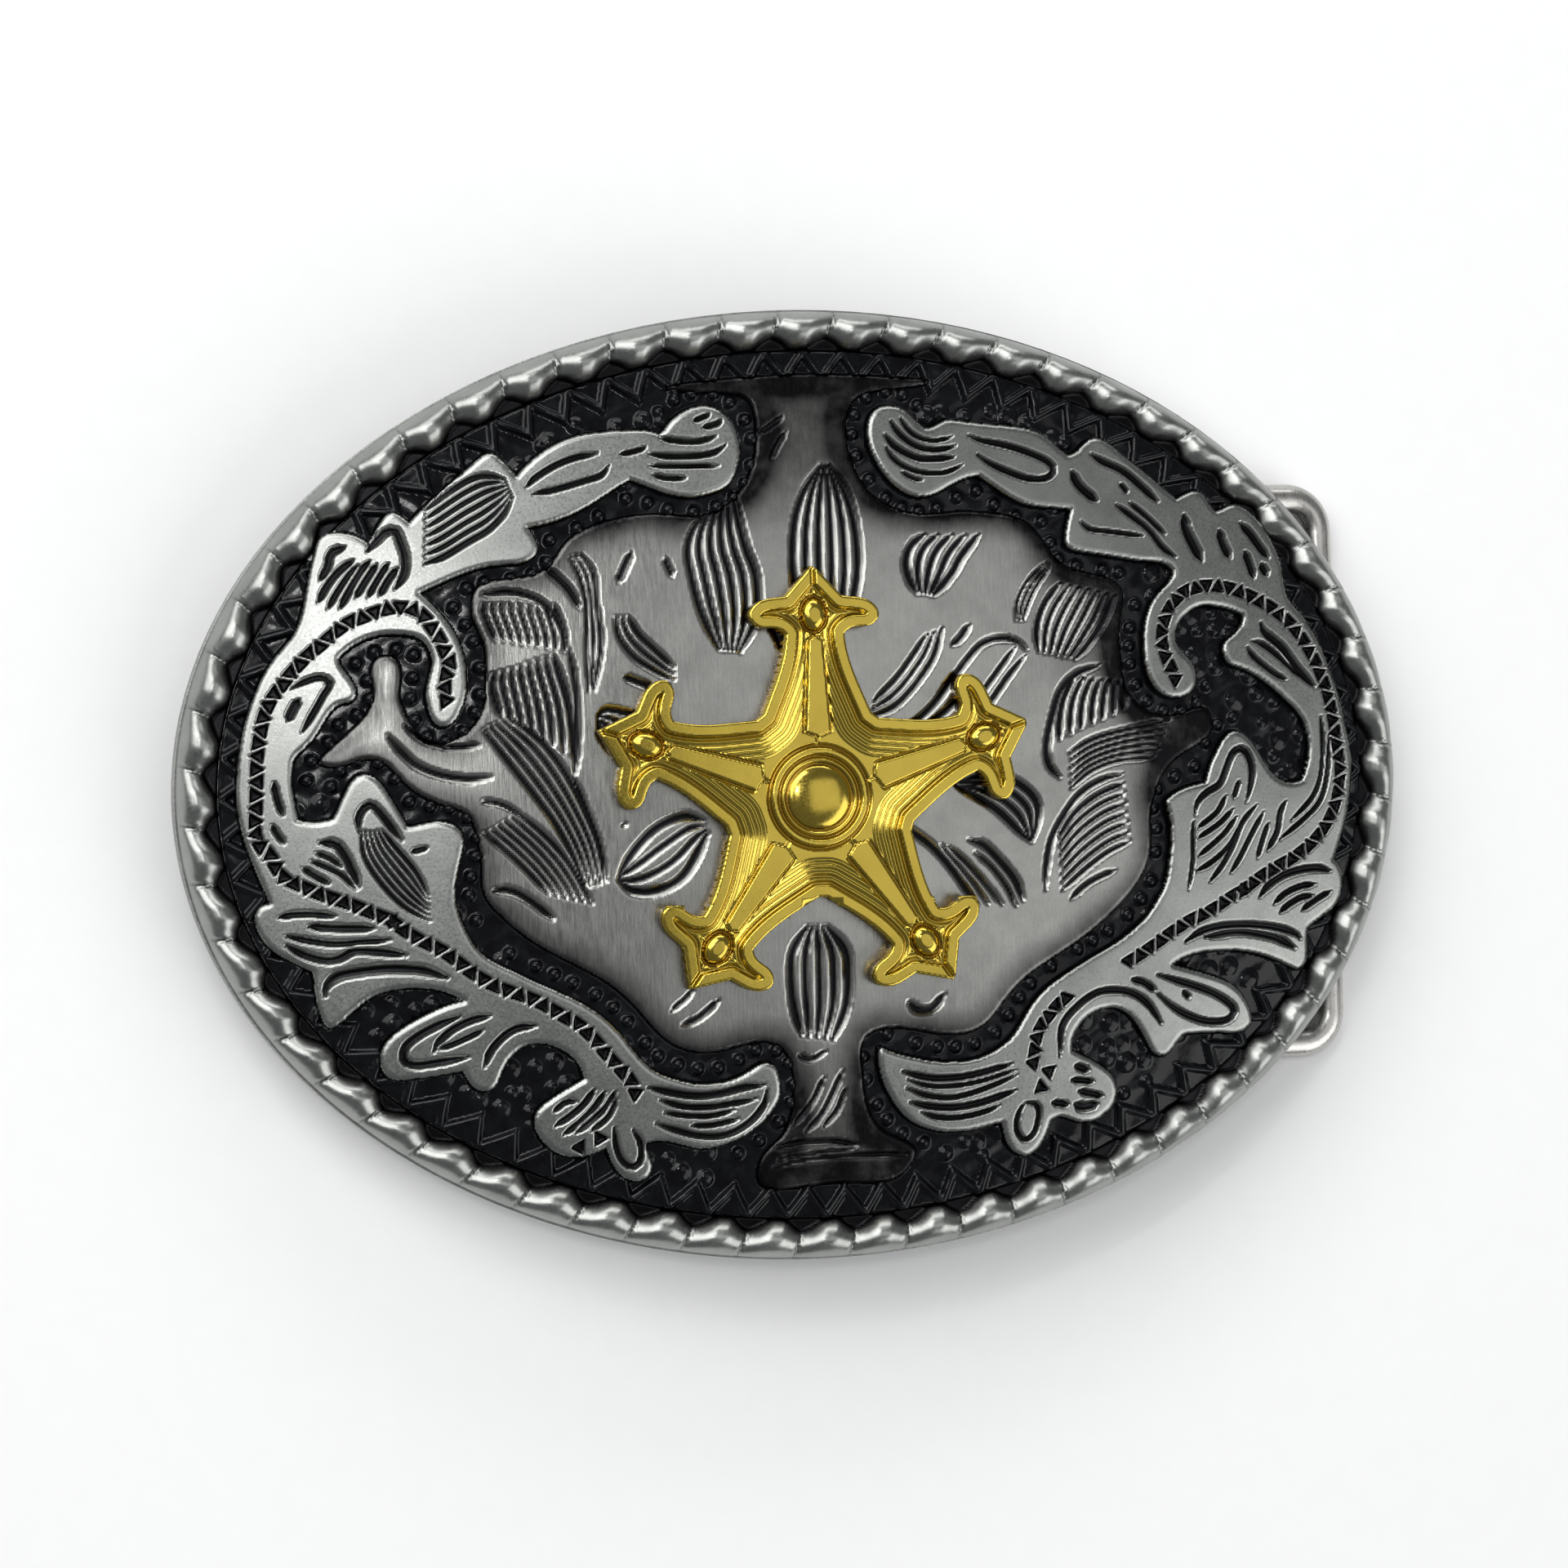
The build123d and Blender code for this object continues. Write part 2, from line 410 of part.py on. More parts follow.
export_step(face_plate.part, "parts/face_plate.step")
export_step(rope_edge.part, "parts/rope_edge.step")
export_step(scroll_left.part, "parts/scroll_left.step")
export_step(scroll_right.part, "parts/scroll_right.step")
export_step(centre_panel.part, "parts/centre_panel.step")
export_step(black_enamel.part, "parts/black_enamel.step")
export_step(star_ornament.part, "parts/star_ornament.step")
export_step(pins[0], "parts/ornament_pin_left.step")
export_step(pins[1], "parts/ornament_pin_right.step")
export_step(lugs[0], "parts/hinge_lug_upper.step")
export_step(lugs[1], "parts/hinge_lug_lower.step")
export_step(bail.part, "parts/bail.step")
export_step(prong_base.part, "parts/prong_base.step")
export_step(prong.part, "parts/prong.step")
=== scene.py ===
import bmesh
import bpy
import math
import numpy as np
from mathutils import Matrix, Vector


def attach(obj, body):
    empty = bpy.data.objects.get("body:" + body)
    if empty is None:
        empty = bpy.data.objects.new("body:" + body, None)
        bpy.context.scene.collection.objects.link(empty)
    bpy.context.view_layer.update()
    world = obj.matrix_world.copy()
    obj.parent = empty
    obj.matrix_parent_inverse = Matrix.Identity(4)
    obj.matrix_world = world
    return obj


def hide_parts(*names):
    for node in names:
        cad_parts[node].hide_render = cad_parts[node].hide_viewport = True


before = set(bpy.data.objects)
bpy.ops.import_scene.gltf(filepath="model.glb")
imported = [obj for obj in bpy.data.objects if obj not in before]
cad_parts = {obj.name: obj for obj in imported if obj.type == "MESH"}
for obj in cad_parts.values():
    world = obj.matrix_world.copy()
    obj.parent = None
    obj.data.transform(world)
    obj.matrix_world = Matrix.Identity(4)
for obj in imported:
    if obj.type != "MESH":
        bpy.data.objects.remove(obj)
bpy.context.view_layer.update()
MM = 0.001

# ---------------------------------------------------------------------------------------
# Oval face plate: cast in one piece with everything on its front, bent to fit the waist.
# Zinc casting, plated and blackened, then wiped. The back keeps the grain of the mould.
# ---------------------------------------------------------------------------------------

PEWTER = (0.38, 0.39, 0.37)
PEWTER_BLACK = (0.012, 0.012, 0.013)


def add_node(material, kind, **values):
    """One shader node with its settings and its unlinked inputs filled in."""
    node = material.node_tree.nodes.new(kind)
    for name, value in values.items():
        if name in node.inputs:
            node.inputs[name].default_value = value
        else:
            setattr(node, name, value)
    return node


def millimetre_coordinates(material, stretch=(1.0, 1.0, 1.0)):
    """Object coordinates counted in millimetres, so a noise scale of 1 is 1 mm."""
    place = add_node(material, "ShaderNodeTexCoord")
    mapping = add_node(material, "ShaderNodeMapping")
    mapping.inputs["Scale"].default_value = [value / MM for value in stretch]
    material.node_tree.links.new(place.outputs["Object"], mapping.inputs["Vector"])
    return mapping.outputs["Vector"]


def mix_colours(material, factor, first, second):
    """Colour between two values, led by a factor socket."""
    links = material.node_tree.links
    mix = add_node(material, "ShaderNodeMix", data_type="RGBA")
    links.new(factor, mix.inputs[0])
    for socket, value in ((mix.inputs[6], first), (mix.inputs[7], second)):
        if isinstance(value, tuple):
            socket.default_value = (*value, 1.0)
        else:
            links.new(value, socket)
    return mix.outputs[2]


def spread(material, value, low, high, out_low=0.0, out_high=1.0):
    """A value stretched from one span to another, clamped at both ends."""
    span = add_node(material, "ShaderNodeMapRange")
    material.node_tree.links.new(value, span.inputs["Value"])
    span.inputs["From Min"].default_value = low
    span.inputs["From Max"].default_value = high
    span.inputs["To Min"].default_value = out_low
    span.inputs["To Max"].default_value = out_high
    return span.outputs["Result"]


def antique_metal(name, bright, black, gloss, rubbed, grain, grain_depth, tarnish=0.0, patina_and_shade=True):
    """Plated metal with black left in its low places, and painted shade where its point
    attribute holds it. Gloss is the roughness of the rubbed and of the black metal, rubbed the
    stretch of the brushing, grain its size in mm."""
    material = bpy.data.materials.new(name)
    material.use_nodes = True
    links = material.node_tree.links
    shader = material.node_tree.nodes["Principled BSDF"]
    shader.inputs["Metallic"].default_value = 1.0
    where = millimetre_coordinates(material)
    along = millimetre_coordinates(material, rubbed)
    blotch = add_node(material, "ShaderNodeTexNoise", Scale=0.35, Detail=4.0, Roughness=0.6)
    links.new(where, blotch.inputs["Vector"])
    scratch = add_node(material, "ShaderNodeTexNoise", Scale=1.0 / grain, Detail=3.0, Roughness=0.65)
    links.new(along, scratch.inputs["Vector"])
    worn = spread(material, blotch.outputs["Fac"], 0.35, 0.72, tarnish, tarnish + 0.22)
    blackening_and_shade = add_node(material, "ShaderNodeMath", operation="ADD", use_clamp=True)
    links.new(worn, blackening_and_shade.inputs[0])
    if patina_and_shade:
        # The point attribute holds patina and, on the rope and the centre panel, painted shade.
        depth = add_node(material, "ShaderNodeAttribute", attribute_name="patina_and_shade")
        edge = add_node(material, "ShaderNodeMath", operation="MULTIPLY_ADD")
        links.new(scratch.outputs["Fac"], edge.inputs[0])
        edge.inputs[1].default_value = 0.12
        links.new(depth.outputs["Fac"], edge.inputs[2])
        links.new(spread(material, edge.outputs[0], 0.12, 1.02), blackening_and_shade.inputs[1])
    else:
        speck = add_node(material, "ShaderNodeTexNoise", Scale=5.5, Detail=2.0, Roughness=0.7)
        links.new(where, speck.inputs["Vector"])
        links.new(spread(material, speck.outputs["Fac"], 0.58, 0.72, 0.0, 0.30), blackening_and_shade.inputs[1])
    lined = mix_colours(material, scratch.outputs["Fac"], tuple(0.82 * v for v in bright), bright)
    colour = mix_colours(material, blackening_and_shade.outputs[0], lined, black)
    links.new(colour, shader.inputs["Base Color"])
    rough = add_node(material, "ShaderNodeMath", operation="ADD", use_clamp=True)
    links.new(spread(material, scratch.outputs["Fac"], 0.3, 0.7, -0.07, 0.07), rough.inputs[0])
    links.new(spread(material, blackening_and_shade.outputs[0], 0.0, 1.0, *gloss), rough.inputs[1])
    links.new(rough.outputs[0], shader.inputs["Roughness"])
    bump = add_node(material, "ShaderNodeBump", Distance=grain_depth * MM, Strength=1.0)
    links.new(scratch.outputs["Fac"], bump.inputs["Height"])
    links.new(bump.outputs["Normal"], shader.inputs["Normal"])
    return material


def dress(node_name, material):
    """Give a CAD piece its finished material."""
    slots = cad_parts[node_name].data.materials
    slots.clear()
    slots.append(material)


cast_back = antique_metal(
    "cast_back", PEWTER, PEWTER_BLACK, (0.46, 0.40), (1.0, 1.0, 1.0), 0.30, 0.05, 0.12, False
)
dress("face_plate", cast_back)

# ---------------------------------------------------------------------------------------
# Rope border: sixty short strands round the rim, each one a bead that leans over the next.
# Cast with the plate; satin pewter on top, blackened in the joints, painted shade along the inside.
# ---------------------------------------------------------------------------------------

ROPE_OUTER = (48.9, 36.7)
ROPE_INNER = (45.7, 33.5)
ROPE_HEIGHT = 1.9
ROPE_STRANDS = 60
STRAND_STEPS = 24
ROPE_ROWS = 22
JOINT_LEAN = 0.24
MERGE_REACH = 0.02
BEND_LONG = 210.0
BEND_SHORT = 250.0
CROWN = 10.2


def bent_height(x, y, above):
    """Height over the table of a point that lies so far above the bent front of the plate."""
    ring = np.sqrt((BEND_SHORT + above) ** 2 - y**2) - BEND_SHORT + BEND_LONG
    return CROWN - BEND_LONG + np.sqrt(ring**2 - x**2)


def oval_angles(half_length, half_width, count):
    """Angles that step evenly along the rim of an oval."""
    fine = np.linspace(0.0, 2.0 * math.pi, 7201)
    steps = np.hypot(np.diff(half_length * np.cos(fine)), np.diff(half_width * np.sin(fine)))
    travel = np.concatenate(([0.0], np.cumsum(steps)))
    return np.interp(np.linspace(0.0, travel[-1], count + 1), travel, fine)


def finish_piece(name, mesh, material, slot, *cad_nodes):
    """Show a finished mesh in place of its CAD pieces, on the buckle."""
    piece = bpy.data.objects.new(name, mesh)
    bpy.context.scene.collection.objects.link(piece)
    mesh.materials.append(material)
    mesh.polygons.foreach_set("use_smooth", np.ones(len(mesh.polygons), bool))
    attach(piece, "buckle")
    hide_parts(*cad_nodes)


def set_patina_and_shade(mesh, values):
    """Store how black each point of the surface is, from patina and from painted shade."""
    layer = mesh.attributes.new("patina_and_shade", "FLOAT", "POINT")
    layer.data.foreach_set("value", np.clip(values, 0.0, 1.0).astype(np.float32))


rope_bm = bmesh.new()
rope_count = ROPE_STRANDS * STRAND_STEPS
bmesh.ops.create_grid(rope_bm, x_segments=rope_count, y_segments=ROPE_ROWS, size=0.5)
rope_mesh = bpy.data.meshes.new("rope_border")
rope_bm.to_mesh(rope_mesh)
flat = np.empty(len(rope_mesh.vertices) * 3)
rope_mesh.vertices.foreach_get("co", flat)
flat = flat.reshape(-1, 3)
around, across = flat[:, 0] + 0.5, flat[:, 1] + 0.5
middle_oval = [0.5 * (inner + outer) for inner, outer in zip(ROPE_INNER, ROPE_OUTER)]
turn = np.interp(around * rope_count, np.arange(rope_count + 1), oval_angles(*middle_oval, rope_count))
phase = np.mod(around * ROPE_STRANDS + JOINT_LEAN * (across - 0.5) + 0.5, 1.0) - 0.5
joint = np.clip((np.abs(phase) - 0.06) / 0.44, 0.0, 1.0)
joint = joint**2 * (3.0 - 2.0 * joint)
gap = np.exp(-(((0.5 - np.abs(phase)) / 0.03) ** 2))
inset = 0.02 + 0.27 * joint
lift = np.clip((across - inset) / (1.0 - inset), 0.0, 1.0)
dome = np.clip(1.0 - (2.0 * lift**1.2 - 1.0) ** 2, 0.0, 1.0) ** 0.60
above = ROPE_HEIGHT * dome * (1.0 - 0.30 * joint - 0.18 * gap - 0.13 * (0.5 - phase))
above = np.maximum(above, 0.12)
above[(across < 1e-6) | (across > 1.0 - 1e-6)] = 0.0
length = ROPE_INNER[0] + (ROPE_OUTER[0] - ROPE_INNER[0]) * across
width = ROPE_INNER[1] + (ROPE_OUTER[1] - ROPE_INNER[1]) * across
x, y = length * np.cos(turn), width * np.sin(turn)
flat = np.stack((x, y, bent_height(x, y, above)), axis=1) * MM
rope_mesh.vertices.foreach_set("co", flat.ravel())
# Painted shade: the low inner side of the rope is darkened. The joints are blackened.
inside_shade = np.clip((0.95 - above) / 0.7, 0.0, 1.0) * (across < 0.5)
set_patina_and_shade(rope_mesh, np.maximum(inside_shade, 0.95 * gap * (1.15 - across)))
rope_bm.clear()
rope_bm.from_mesh(rope_mesh)
bmesh.ops.remove_doubles(rope_bm, verts=rope_bm.verts, dist=MERGE_REACH * MM)
bmesh.ops.bridge_loops(rope_bm, edges=[e for e in rope_bm.edges if e.is_boundary])
bmesh.ops.recalc_face_normals(rope_bm, faces=rope_bm.faces)
rope_bm.to_mesh(rope_mesh)
rope_bm.free()
rope_metal = antique_metal(
    "rope_pewter", PEWTER, PEWTER_BLACK, (0.34, 0.32), (1.0, 1.0, 1.0), 0.22, 0.004, 0.0
)
finish_piece("rope_border", rope_mesh, rope_metal, "pewter_rope", "rope_edge")

# ---------------------------------------------------------------------------------------
# Black ground: glossy enamel run into the low places between rope, scrolls and panel.
# It covers a ring of teeth inside the rope, a line of beads by the scrolls and fine pebbles.
# ---------------------------------------------------------------------------------------

ENAMEL_TOP = 0.25
ENAMEL_STEP = 0.125
TEETH = 80
TOOTH_DEPTH = 2.1
TOOTH_LEAN = 0.60
TOOTH_LIP = 0.36
TOOTH_HEIGHT = 0.52
BEAD_RADIUS = 0.52
BEAD_HEIGHT = 0.46
BEAD_PITCH = 1.38
BEAD_OFFSET = 1.1
PEBBLE_PITCH = 1.7
UNDERSIDE_CELL = 1.6
UNDERSIDE_MARGIN = 1.2
UNDERSIDE_TURN = 0.3737


def outline_of(name):
    """Border of a CAD piece's front, seen from above, as line pieces in millimetres.
    The piece lies to the left of each one."""
    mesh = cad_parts[name].data
    points = np.empty(len(mesh.vertices) * 3)
    mesh.vertices.foreach_get("co", points)
    corners = np.empty(len(mesh.loops), int)
    mesh.loops.foreach_get("vertex_index", corners)
    faces = points.reshape(-1, 3)[corners.reshape(-1, 3)] / MM
    normal = np.cross(faces[:, 1] - faces[:, 0], faces[:, 2] - faces[:, 0])
    front = faces[normal[:, 2] > 0.6 * np.linalg.norm(normal, axis=1)][:, :, :2]
    places, which = np.unique(np.round(front.reshape(-1, 2), 3), axis=0, return_inverse=True)
    which = which.reshape(-1, 3)
    edges = np.concatenate((which[:, [0, 1]], which[:, [1, 2]], which[:, [2, 0]]))
    paired = np.sort(edges, axis=1)
    _, first, count = np.unique(paired, axis=0, return_index=True, return_counts=True)
    border = edges[first[count == 1]]
    border = border[border[:, 0] != border[:, 1]]
    return np.concatenate((places[border[:, 0]], places[border[:, 1]]), axis=1)


def within(x, y, outline):
    """True for the grid points inside an outline; every row of the grid has one y."""
    found = np.zeros(x.shape, bool)
    for row in range(x.shape[0]):
        level = y[row, 0] + 1.3e-5
        crossing = outline[(outline[:, 1] > level) != (outline[:, 3] > level)]
        share = (level - crossing[:, 1]) / (crossing[:, 3] - crossing[:, 1])
        places = np.sort(crossing[:, 0] + share * (crossing[:, 2] - crossing[:, 0]))
        if len(places) % 2:
            found[row] = found[row - 1]
        else:
            found[row] = np.searchsorted(places, x[row]) % 2 == 1
    return found


def nearest(x, y, outline, reach):
    """Distance from each point to an outline, no more than reach, and the closest place on it."""
    best = np.full(x.shape, float(reach))
    near_x, near_y = x.copy(), y.copy()
    cell = 3.0
    column, row = np.floor(x / cell).astype(int), np.floor(y / cell).astype(int)
    low_x, high_x = outline[:, [0, 2]].min(1) - reach, outline[:, [0, 2]].max(1) + reach
    low_y, high_y = outline[:, [1, 3]].min(1) - reach, outline[:, [1, 3]].max(1) + reach
    for i, j in np.unique(np.stack((column, row), axis=1), axis=0):
        in_column = (low_x < (i + 1) * cell) & (high_x > i * cell)
        in_row = (low_y < (j + 1) * cell) & (high_y > j * cell)
        close = outline[in_column & in_row]
        if not len(close):
            continue
        here = np.nonzero((column == i) & (row == j))[0]
        start, along = close[:, :2], close[:, 2:] - close[:, :2]
        off_x = x[here, None] - start[None, :, 0]
        off_y = y[here, None] - start[None, :, 1]
        share = (off_x * along[:, 0] + off_y * along[:, 1]) / np.maximum((along**2).sum(1), 1e-12)
        share = np.clip(share, 0.0, 1.0)
        gap_x, gap_y = off_x - share * along[:, 0], off_y - share * along[:, 1]
        gap = np.hypot(gap_x, gap_y)
        pick = gap.argmin(1)
        rows = np.arange(len(here))
        better = gap[rows, pick] < best[here]
        chosen = here[better]
        best[chosen] = gap[rows, pick][better]
        near_x[chosen] = x[chosen] - gap_x[rows, pick][better]
        near_y[chosen] = y[chosen] - gap_y[rows, pick][better]
    return best, near_x, near_y


class Sheet:
    """A fine grid over one cast part, holding point by point its relief and its darkness: patina, with
    painted shade on the centre panel.
    """

    def __init__(self, outline, step):
        low = outline.reshape(-1, 2).min(0) - step
        high = outline.reshape(-1, 2).max(0) + step
        self.outline, self.step, self.low = outline, step, low
        self.columns = int(math.ceil((high[0] - low[0]) / step)) + 1
        self.rows = int(math.ceil((high[1] - low[1]) / step)) + 1
        self.x, self.y = np.meshgrid(
            low[0] + np.arange(self.columns) * step, low[1] + np.arange(self.rows) * step
        )
        self.inside = within(self.x, self.y, outline)
        self.drop_pinches()
        self.edge = np.zeros(self.x.shape)
        inner = self.inside
        self.edge[inner] = nearest(self.x[inner], self.y[inner], outline, 3.0)[0]
        self.cut = np.zeros(self.x.shape)
        self.rise = np.zeros(self.x.shape)
        self.dark = np.zeros(self.x.shape)

    def drop_pinches(self):
        """Leave out places where two cells of the grid would touch at a corner only."""
        for _ in range(4):
            full = self.inside[:-1] & self.inside[1:]
            cell = np.pad(full[:, :-1] & full[:, 1:], 1)
            first, second, third, fourth = cell[:-1, :-1], cell[:-1, 1:], cell[1:, :-1], cell[1:, 1:]
            across = (first & fourth & ~second & ~third) | (second & third & ~first & ~fourth)
            self.inside &= ~across

    def window(self, points, margin):
        """Part of the grid round some points."""
        points = np.asarray(points, float).reshape(-1, 2)
        low = np.floor((points.min(0) - margin - self.low) / self.step).astype(int)
        high = np.ceil((points.max(0) + margin - self.low) / self.step).astype(int) + 1
        low, high = np.maximum(low, 0), np.maximum(high, 0)
        return slice(low[1], high[1]), slice(low[0], high[0])

    def line_distance(self, line, part):
        """Distance to a drawn line and how far along it the closest place is, from 0 to 1."""
        x, y = self.x[part], self.y[part]
        best, where = np.full(x.shape, 99.0), np.zeros(x.shape)
        lengths = np.hypot(*np.diff(line, axis=0).T)
        total, done = lengths.sum(), 0.0
        for (ax, ay), (bx, by), length in zip(line[:-1], line[1:], lengths):
            share = ((x - ax) * (bx - ax) + (y - ay) * (by - ay)) / max(length**2, 1e-12)
            share = np.clip(share, 0.0, 1.0)
            gap = np.hypot(x - ax - share * (bx - ax), y - ay - share * (by - ay))
            better = gap < best
            best[better] = gap[better]
            where[better] = (done + share[better] * length) / total
            done += length
        return best, where

    def engrave(self, points, width, depth):
        """Round bottomed stroke that narrows to both ends, filled with black."""
        line = smooth_line(points)
        part = self.window(line, 1.5 * width)
        gap, where = self.line_distance(line, part)
        taper = np.sqrt(np.clip(np.minimum(where, 1.0 - where) / 0.16, 0.12, 1.0))
        half = 0.72 * width * taper
        cut = depth * np.clip(1.0 - (gap / half) ** 2, 0.0, 1.0) ** 0.8
        self.cut[part] = np.maximum(self.cut[part], cut)
        shade = np.clip((0.82 * half - gap) / (0.45 * half), 0.0, 1.0)
        self.dark[part] = np.maximum(self.dark[part], shade)

    def fan(self, first, last, strands, depth, ground=0.10):
        """Leaf pocket between two edge lines, with raised strands left standing in it."""
        first, last = smooth_line(first, 15), smooth_line(last, 15)
        spacing = np.hypot(*(last - first).T).max() / strands
        width = min(max(0.50 * spacing, 0.20), 0.55)
        for number in range(strands + 1):
            share = number / strands
            edge_line = number in (0, strands)
            line = first + (last - first) * share
            self.engrave(line, width * (1.2 if edge_line else 1.0), depth)
        part = self.window(np.concatenate((first, last)), 0.5)
        ring = np.concatenate((first, last[::-1]))
        closed = np.concatenate((ring, np.roll(ring, -1, axis=0)), axis=1)
        pocket = within(self.x[part], self.y[part], closed)
        self.cut[part] = np.where(pocket, np.maximum(self.cut[part], 0.3 * depth), self.cut[part])
        self.dark[part] = np.where(pocket, np.maximum(self.dark[part], ground), self.dark[part])

    def punch(self, x, y, angle, size, depth):
        """Small three cornered punch mark, one corner pointing along the angle."""
        part = self.window((x, y), size)
        off_x, off_y = self.x[part] - x, self.y[part] - y
        reach = np.full(off_x.shape, -9.0)
        for side in range(3):
            facing = angle + math.pi / 3.0 + side * 2.0 * math.pi / 3.0
            reach = np.maximum(reach, off_x * math.cos(facing) + off_y * math.sin(facing))
        inner = 0.30 * size - reach
        self.cut[part] = np.maximum(self.cut[part], depth * np.clip(inner / 0.12, 0.0, 1.0))
        self.dark[part] = np.maximum(self.dark[part], np.clip((inner + 0.05) / 0.1, 0.0, 1.0))

    def bead(self, x, y, radius, height):
        """Round bead standing on the ground."""
        part = self.window((x, y), radius)
        off = np.clip(1.0 - ((self.x[part] - x) ** 2 + (self.y[part] - y) ** 2) / radius**2, 0.0, 1.0)
        self.rise[part] = np.maximum(self.rise[part], height * off**0.75)

    def round_edge(self, radius):
        """How far the surface drops towards the outline over a rounded edge."""
        inward = np.clip(radius - self.edge, 0.0, radius)
        return radius - np.sqrt(np.clip(radius**2 - inward**2, 0.0, None))

    def close_below(self, bm):
        """Underside of the part: a coarse grid, with a filled band between it and the walls.
        It is filled while turned a little, so that no two corners lie level."""
        stride = int(UNDERSIDE_CELL / self.step)
        columns, rows = (self.columns - 1) // stride, (self.rows - 1) // stride
        lower_rim = [e for e in bm.edges if e.is_boundary]
        verts = bmesh.ops.create_grid(bm, x_segments=columns, y_segments=rows, size=1.0)["verts"]
        half = (0.5 * columns * stride, 0.5 * rows * stride)
        spot = Matrix.Translation((*half, -2.0)) @ Matrix.Diagonal((*half, 1.0, 1.0))
        bmesh.ops.transform(bm, verts=verts, matrix=spot)
        near = [v for v in verts if self.edge[int(v.co.y + 0.5), int(v.co.x + 0.5)] < UNDERSIDE_MARGIN]
        while near:
            bmesh.ops.delete(bm, geom=near, context="VERTS")
            coarse = [v for v in bm.verts if v.co.z < -1.5]
            near = [v for v in coarse if not v.link_faces or sum(e.is_boundary for e in v.link_edges) > 2]
        upper_rim = [e for e in bm.edges if e.is_boundary and e.verts[0].co.z < -1.5]
        bmesh.ops.transform(bm, verts=bm.verts, matrix=Matrix.Rotation(UNDERSIDE_TURN, 4, "Z"))
        rims = lower_rim + upper_rim
        bmesh.ops.triangle_fill(bm, edges=rims, use_beauty=True, normal=(0.0, 0.0, -1.0))
        bmesh.ops.transform(bm, verts=bm.verts, matrix=Matrix.Rotation(-UNDERSIDE_TURN, 4, "Z"))
        bare = [e for e in bm.edges if not e.link_faces]
        bmesh.ops.delete(bm, geom=bare, context="EDGES")
        bmesh.ops.recalc_face_normals(bm, faces=bm.faces)

    def build(self, name, above, base):
        """Mesh of the part: the relief on top, and walls down to base above the plate."""
        bm = bmesh.new()
        bmesh.ops.create_grid(bm, x_segments=self.columns - 1, y_segments=self.rows - 1, size=1.0)
        half = (0.5 * (self.columns - 1), 0.5 * (self.rows - 1))
        spot = Matrix.Translation((*half, 0.0)) @ Matrix.Diagonal((*half, 1.0, 1.0))
        bmesh.ops.transform(bm, verts=bm.verts, matrix=spot)
        outside = [v for v in bm.verts if not self.inside[int(v.co.y + 0.5), int(v.co.x + 0.5)]]
        bmesh.ops.delete(bm, geom=outside, context="VERTS")
        loose = [v for v in bm.verts if not v.link_faces]
        bmesh.ops.delete(bm, geom=loose, context="VERTS")
        rim = [e for e in bm.edges if e.is_boundary]
        walls = bmesh.ops.extrude_edge_only(bm, edges=rim)["geom"]
        for element in walls:
            if isinstance(element, bmesh.types.BMVert):
                element.co.z = -1.0
        self.close_below(bm)
        bm.verts.index_update()
        on_rim = np.zeros(len(bm.verts), bool)
        for edge in rim:
            on_rim[[edge.verts[0].index, edge.verts[1].index]] = True
        mesh = bpy.data.meshes.new(name)
        bm.to_mesh(mesh)
        bm.free()
        spots = np.empty(len(mesh.vertices) * 3)
        mesh.vertices.foreach_get("co", spots)
        spots = spots.reshape(-1, 3)
        column, row = np.rint(spots[:, 0]).astype(int), np.rint(spots[:, 1]).astype(int)
        foot = spots[:, 2] < -0.5
        x, y = self.x[row, column], self.y[row, column]
        moved = on_rim | (foot & (spots[:, 2] > -1.5))
        _, x[moved], y[moved] = nearest(x[moved], y[moved], self.outline, 1.0)
        height = np.where(foot, base, above[row, column])
        place = np.stack((x, y, bent_height(x, y, height)), axis=1) * MM
        mesh.vertices.foreach_set("co", place.ravel())
        set_patina_and_shade(mesh, np.where(foot, 1.0, self.dark[row, column]))
        mesh.update()
        return mesh


def smooth_line(points, count=None):
    """Evenly stepped smooth line through a few points."""
    points = np.asarray(points, float)
    if len(points) > 2:
        padded = np.concatenate((2 * points[:1] - points[1:2], points, 2 * points[-1:] - points[-2:-1]))
        t = np.linspace(0.0, 1.0, 7)[:-1, None]
        spans = []
        for a, b, c, d in zip(padded, padded[1:], padded[2:], padded[3:]):
            square, cube = 2 * a - 5 * b + 4 * c - d, 3 * b - a - 3 * c + d
            spans.append(0.5 * (2 * b + (c - a) * t + square * t**2 + cube * t**3))
        points = np.concatenate(spans + [points[-1:]])
    travel = np.concatenate(([0.0], np.cumsum(np.hypot(*np.diff(points, axis=0).T))))
    count = count or max(3, int(travel[-1] / 0.45) + 1)
    steps = np.linspace(0.0, travel[-1], count)
    return np.stack([np.interp(steps, travel, values) for values in points.T], axis=1)


def soft_step(value, low, high):
    """Zero below low, one above high, smooth between; high may lie below low."""
    share = np.clip((value - low) / (high - low), 0.0, 1.0)
    return share**2 * (3.0 - 2.0 * share)


outlines = {name: outline_of(name) for name in ("scroll_left", "scroll_right", "centre_panel")}

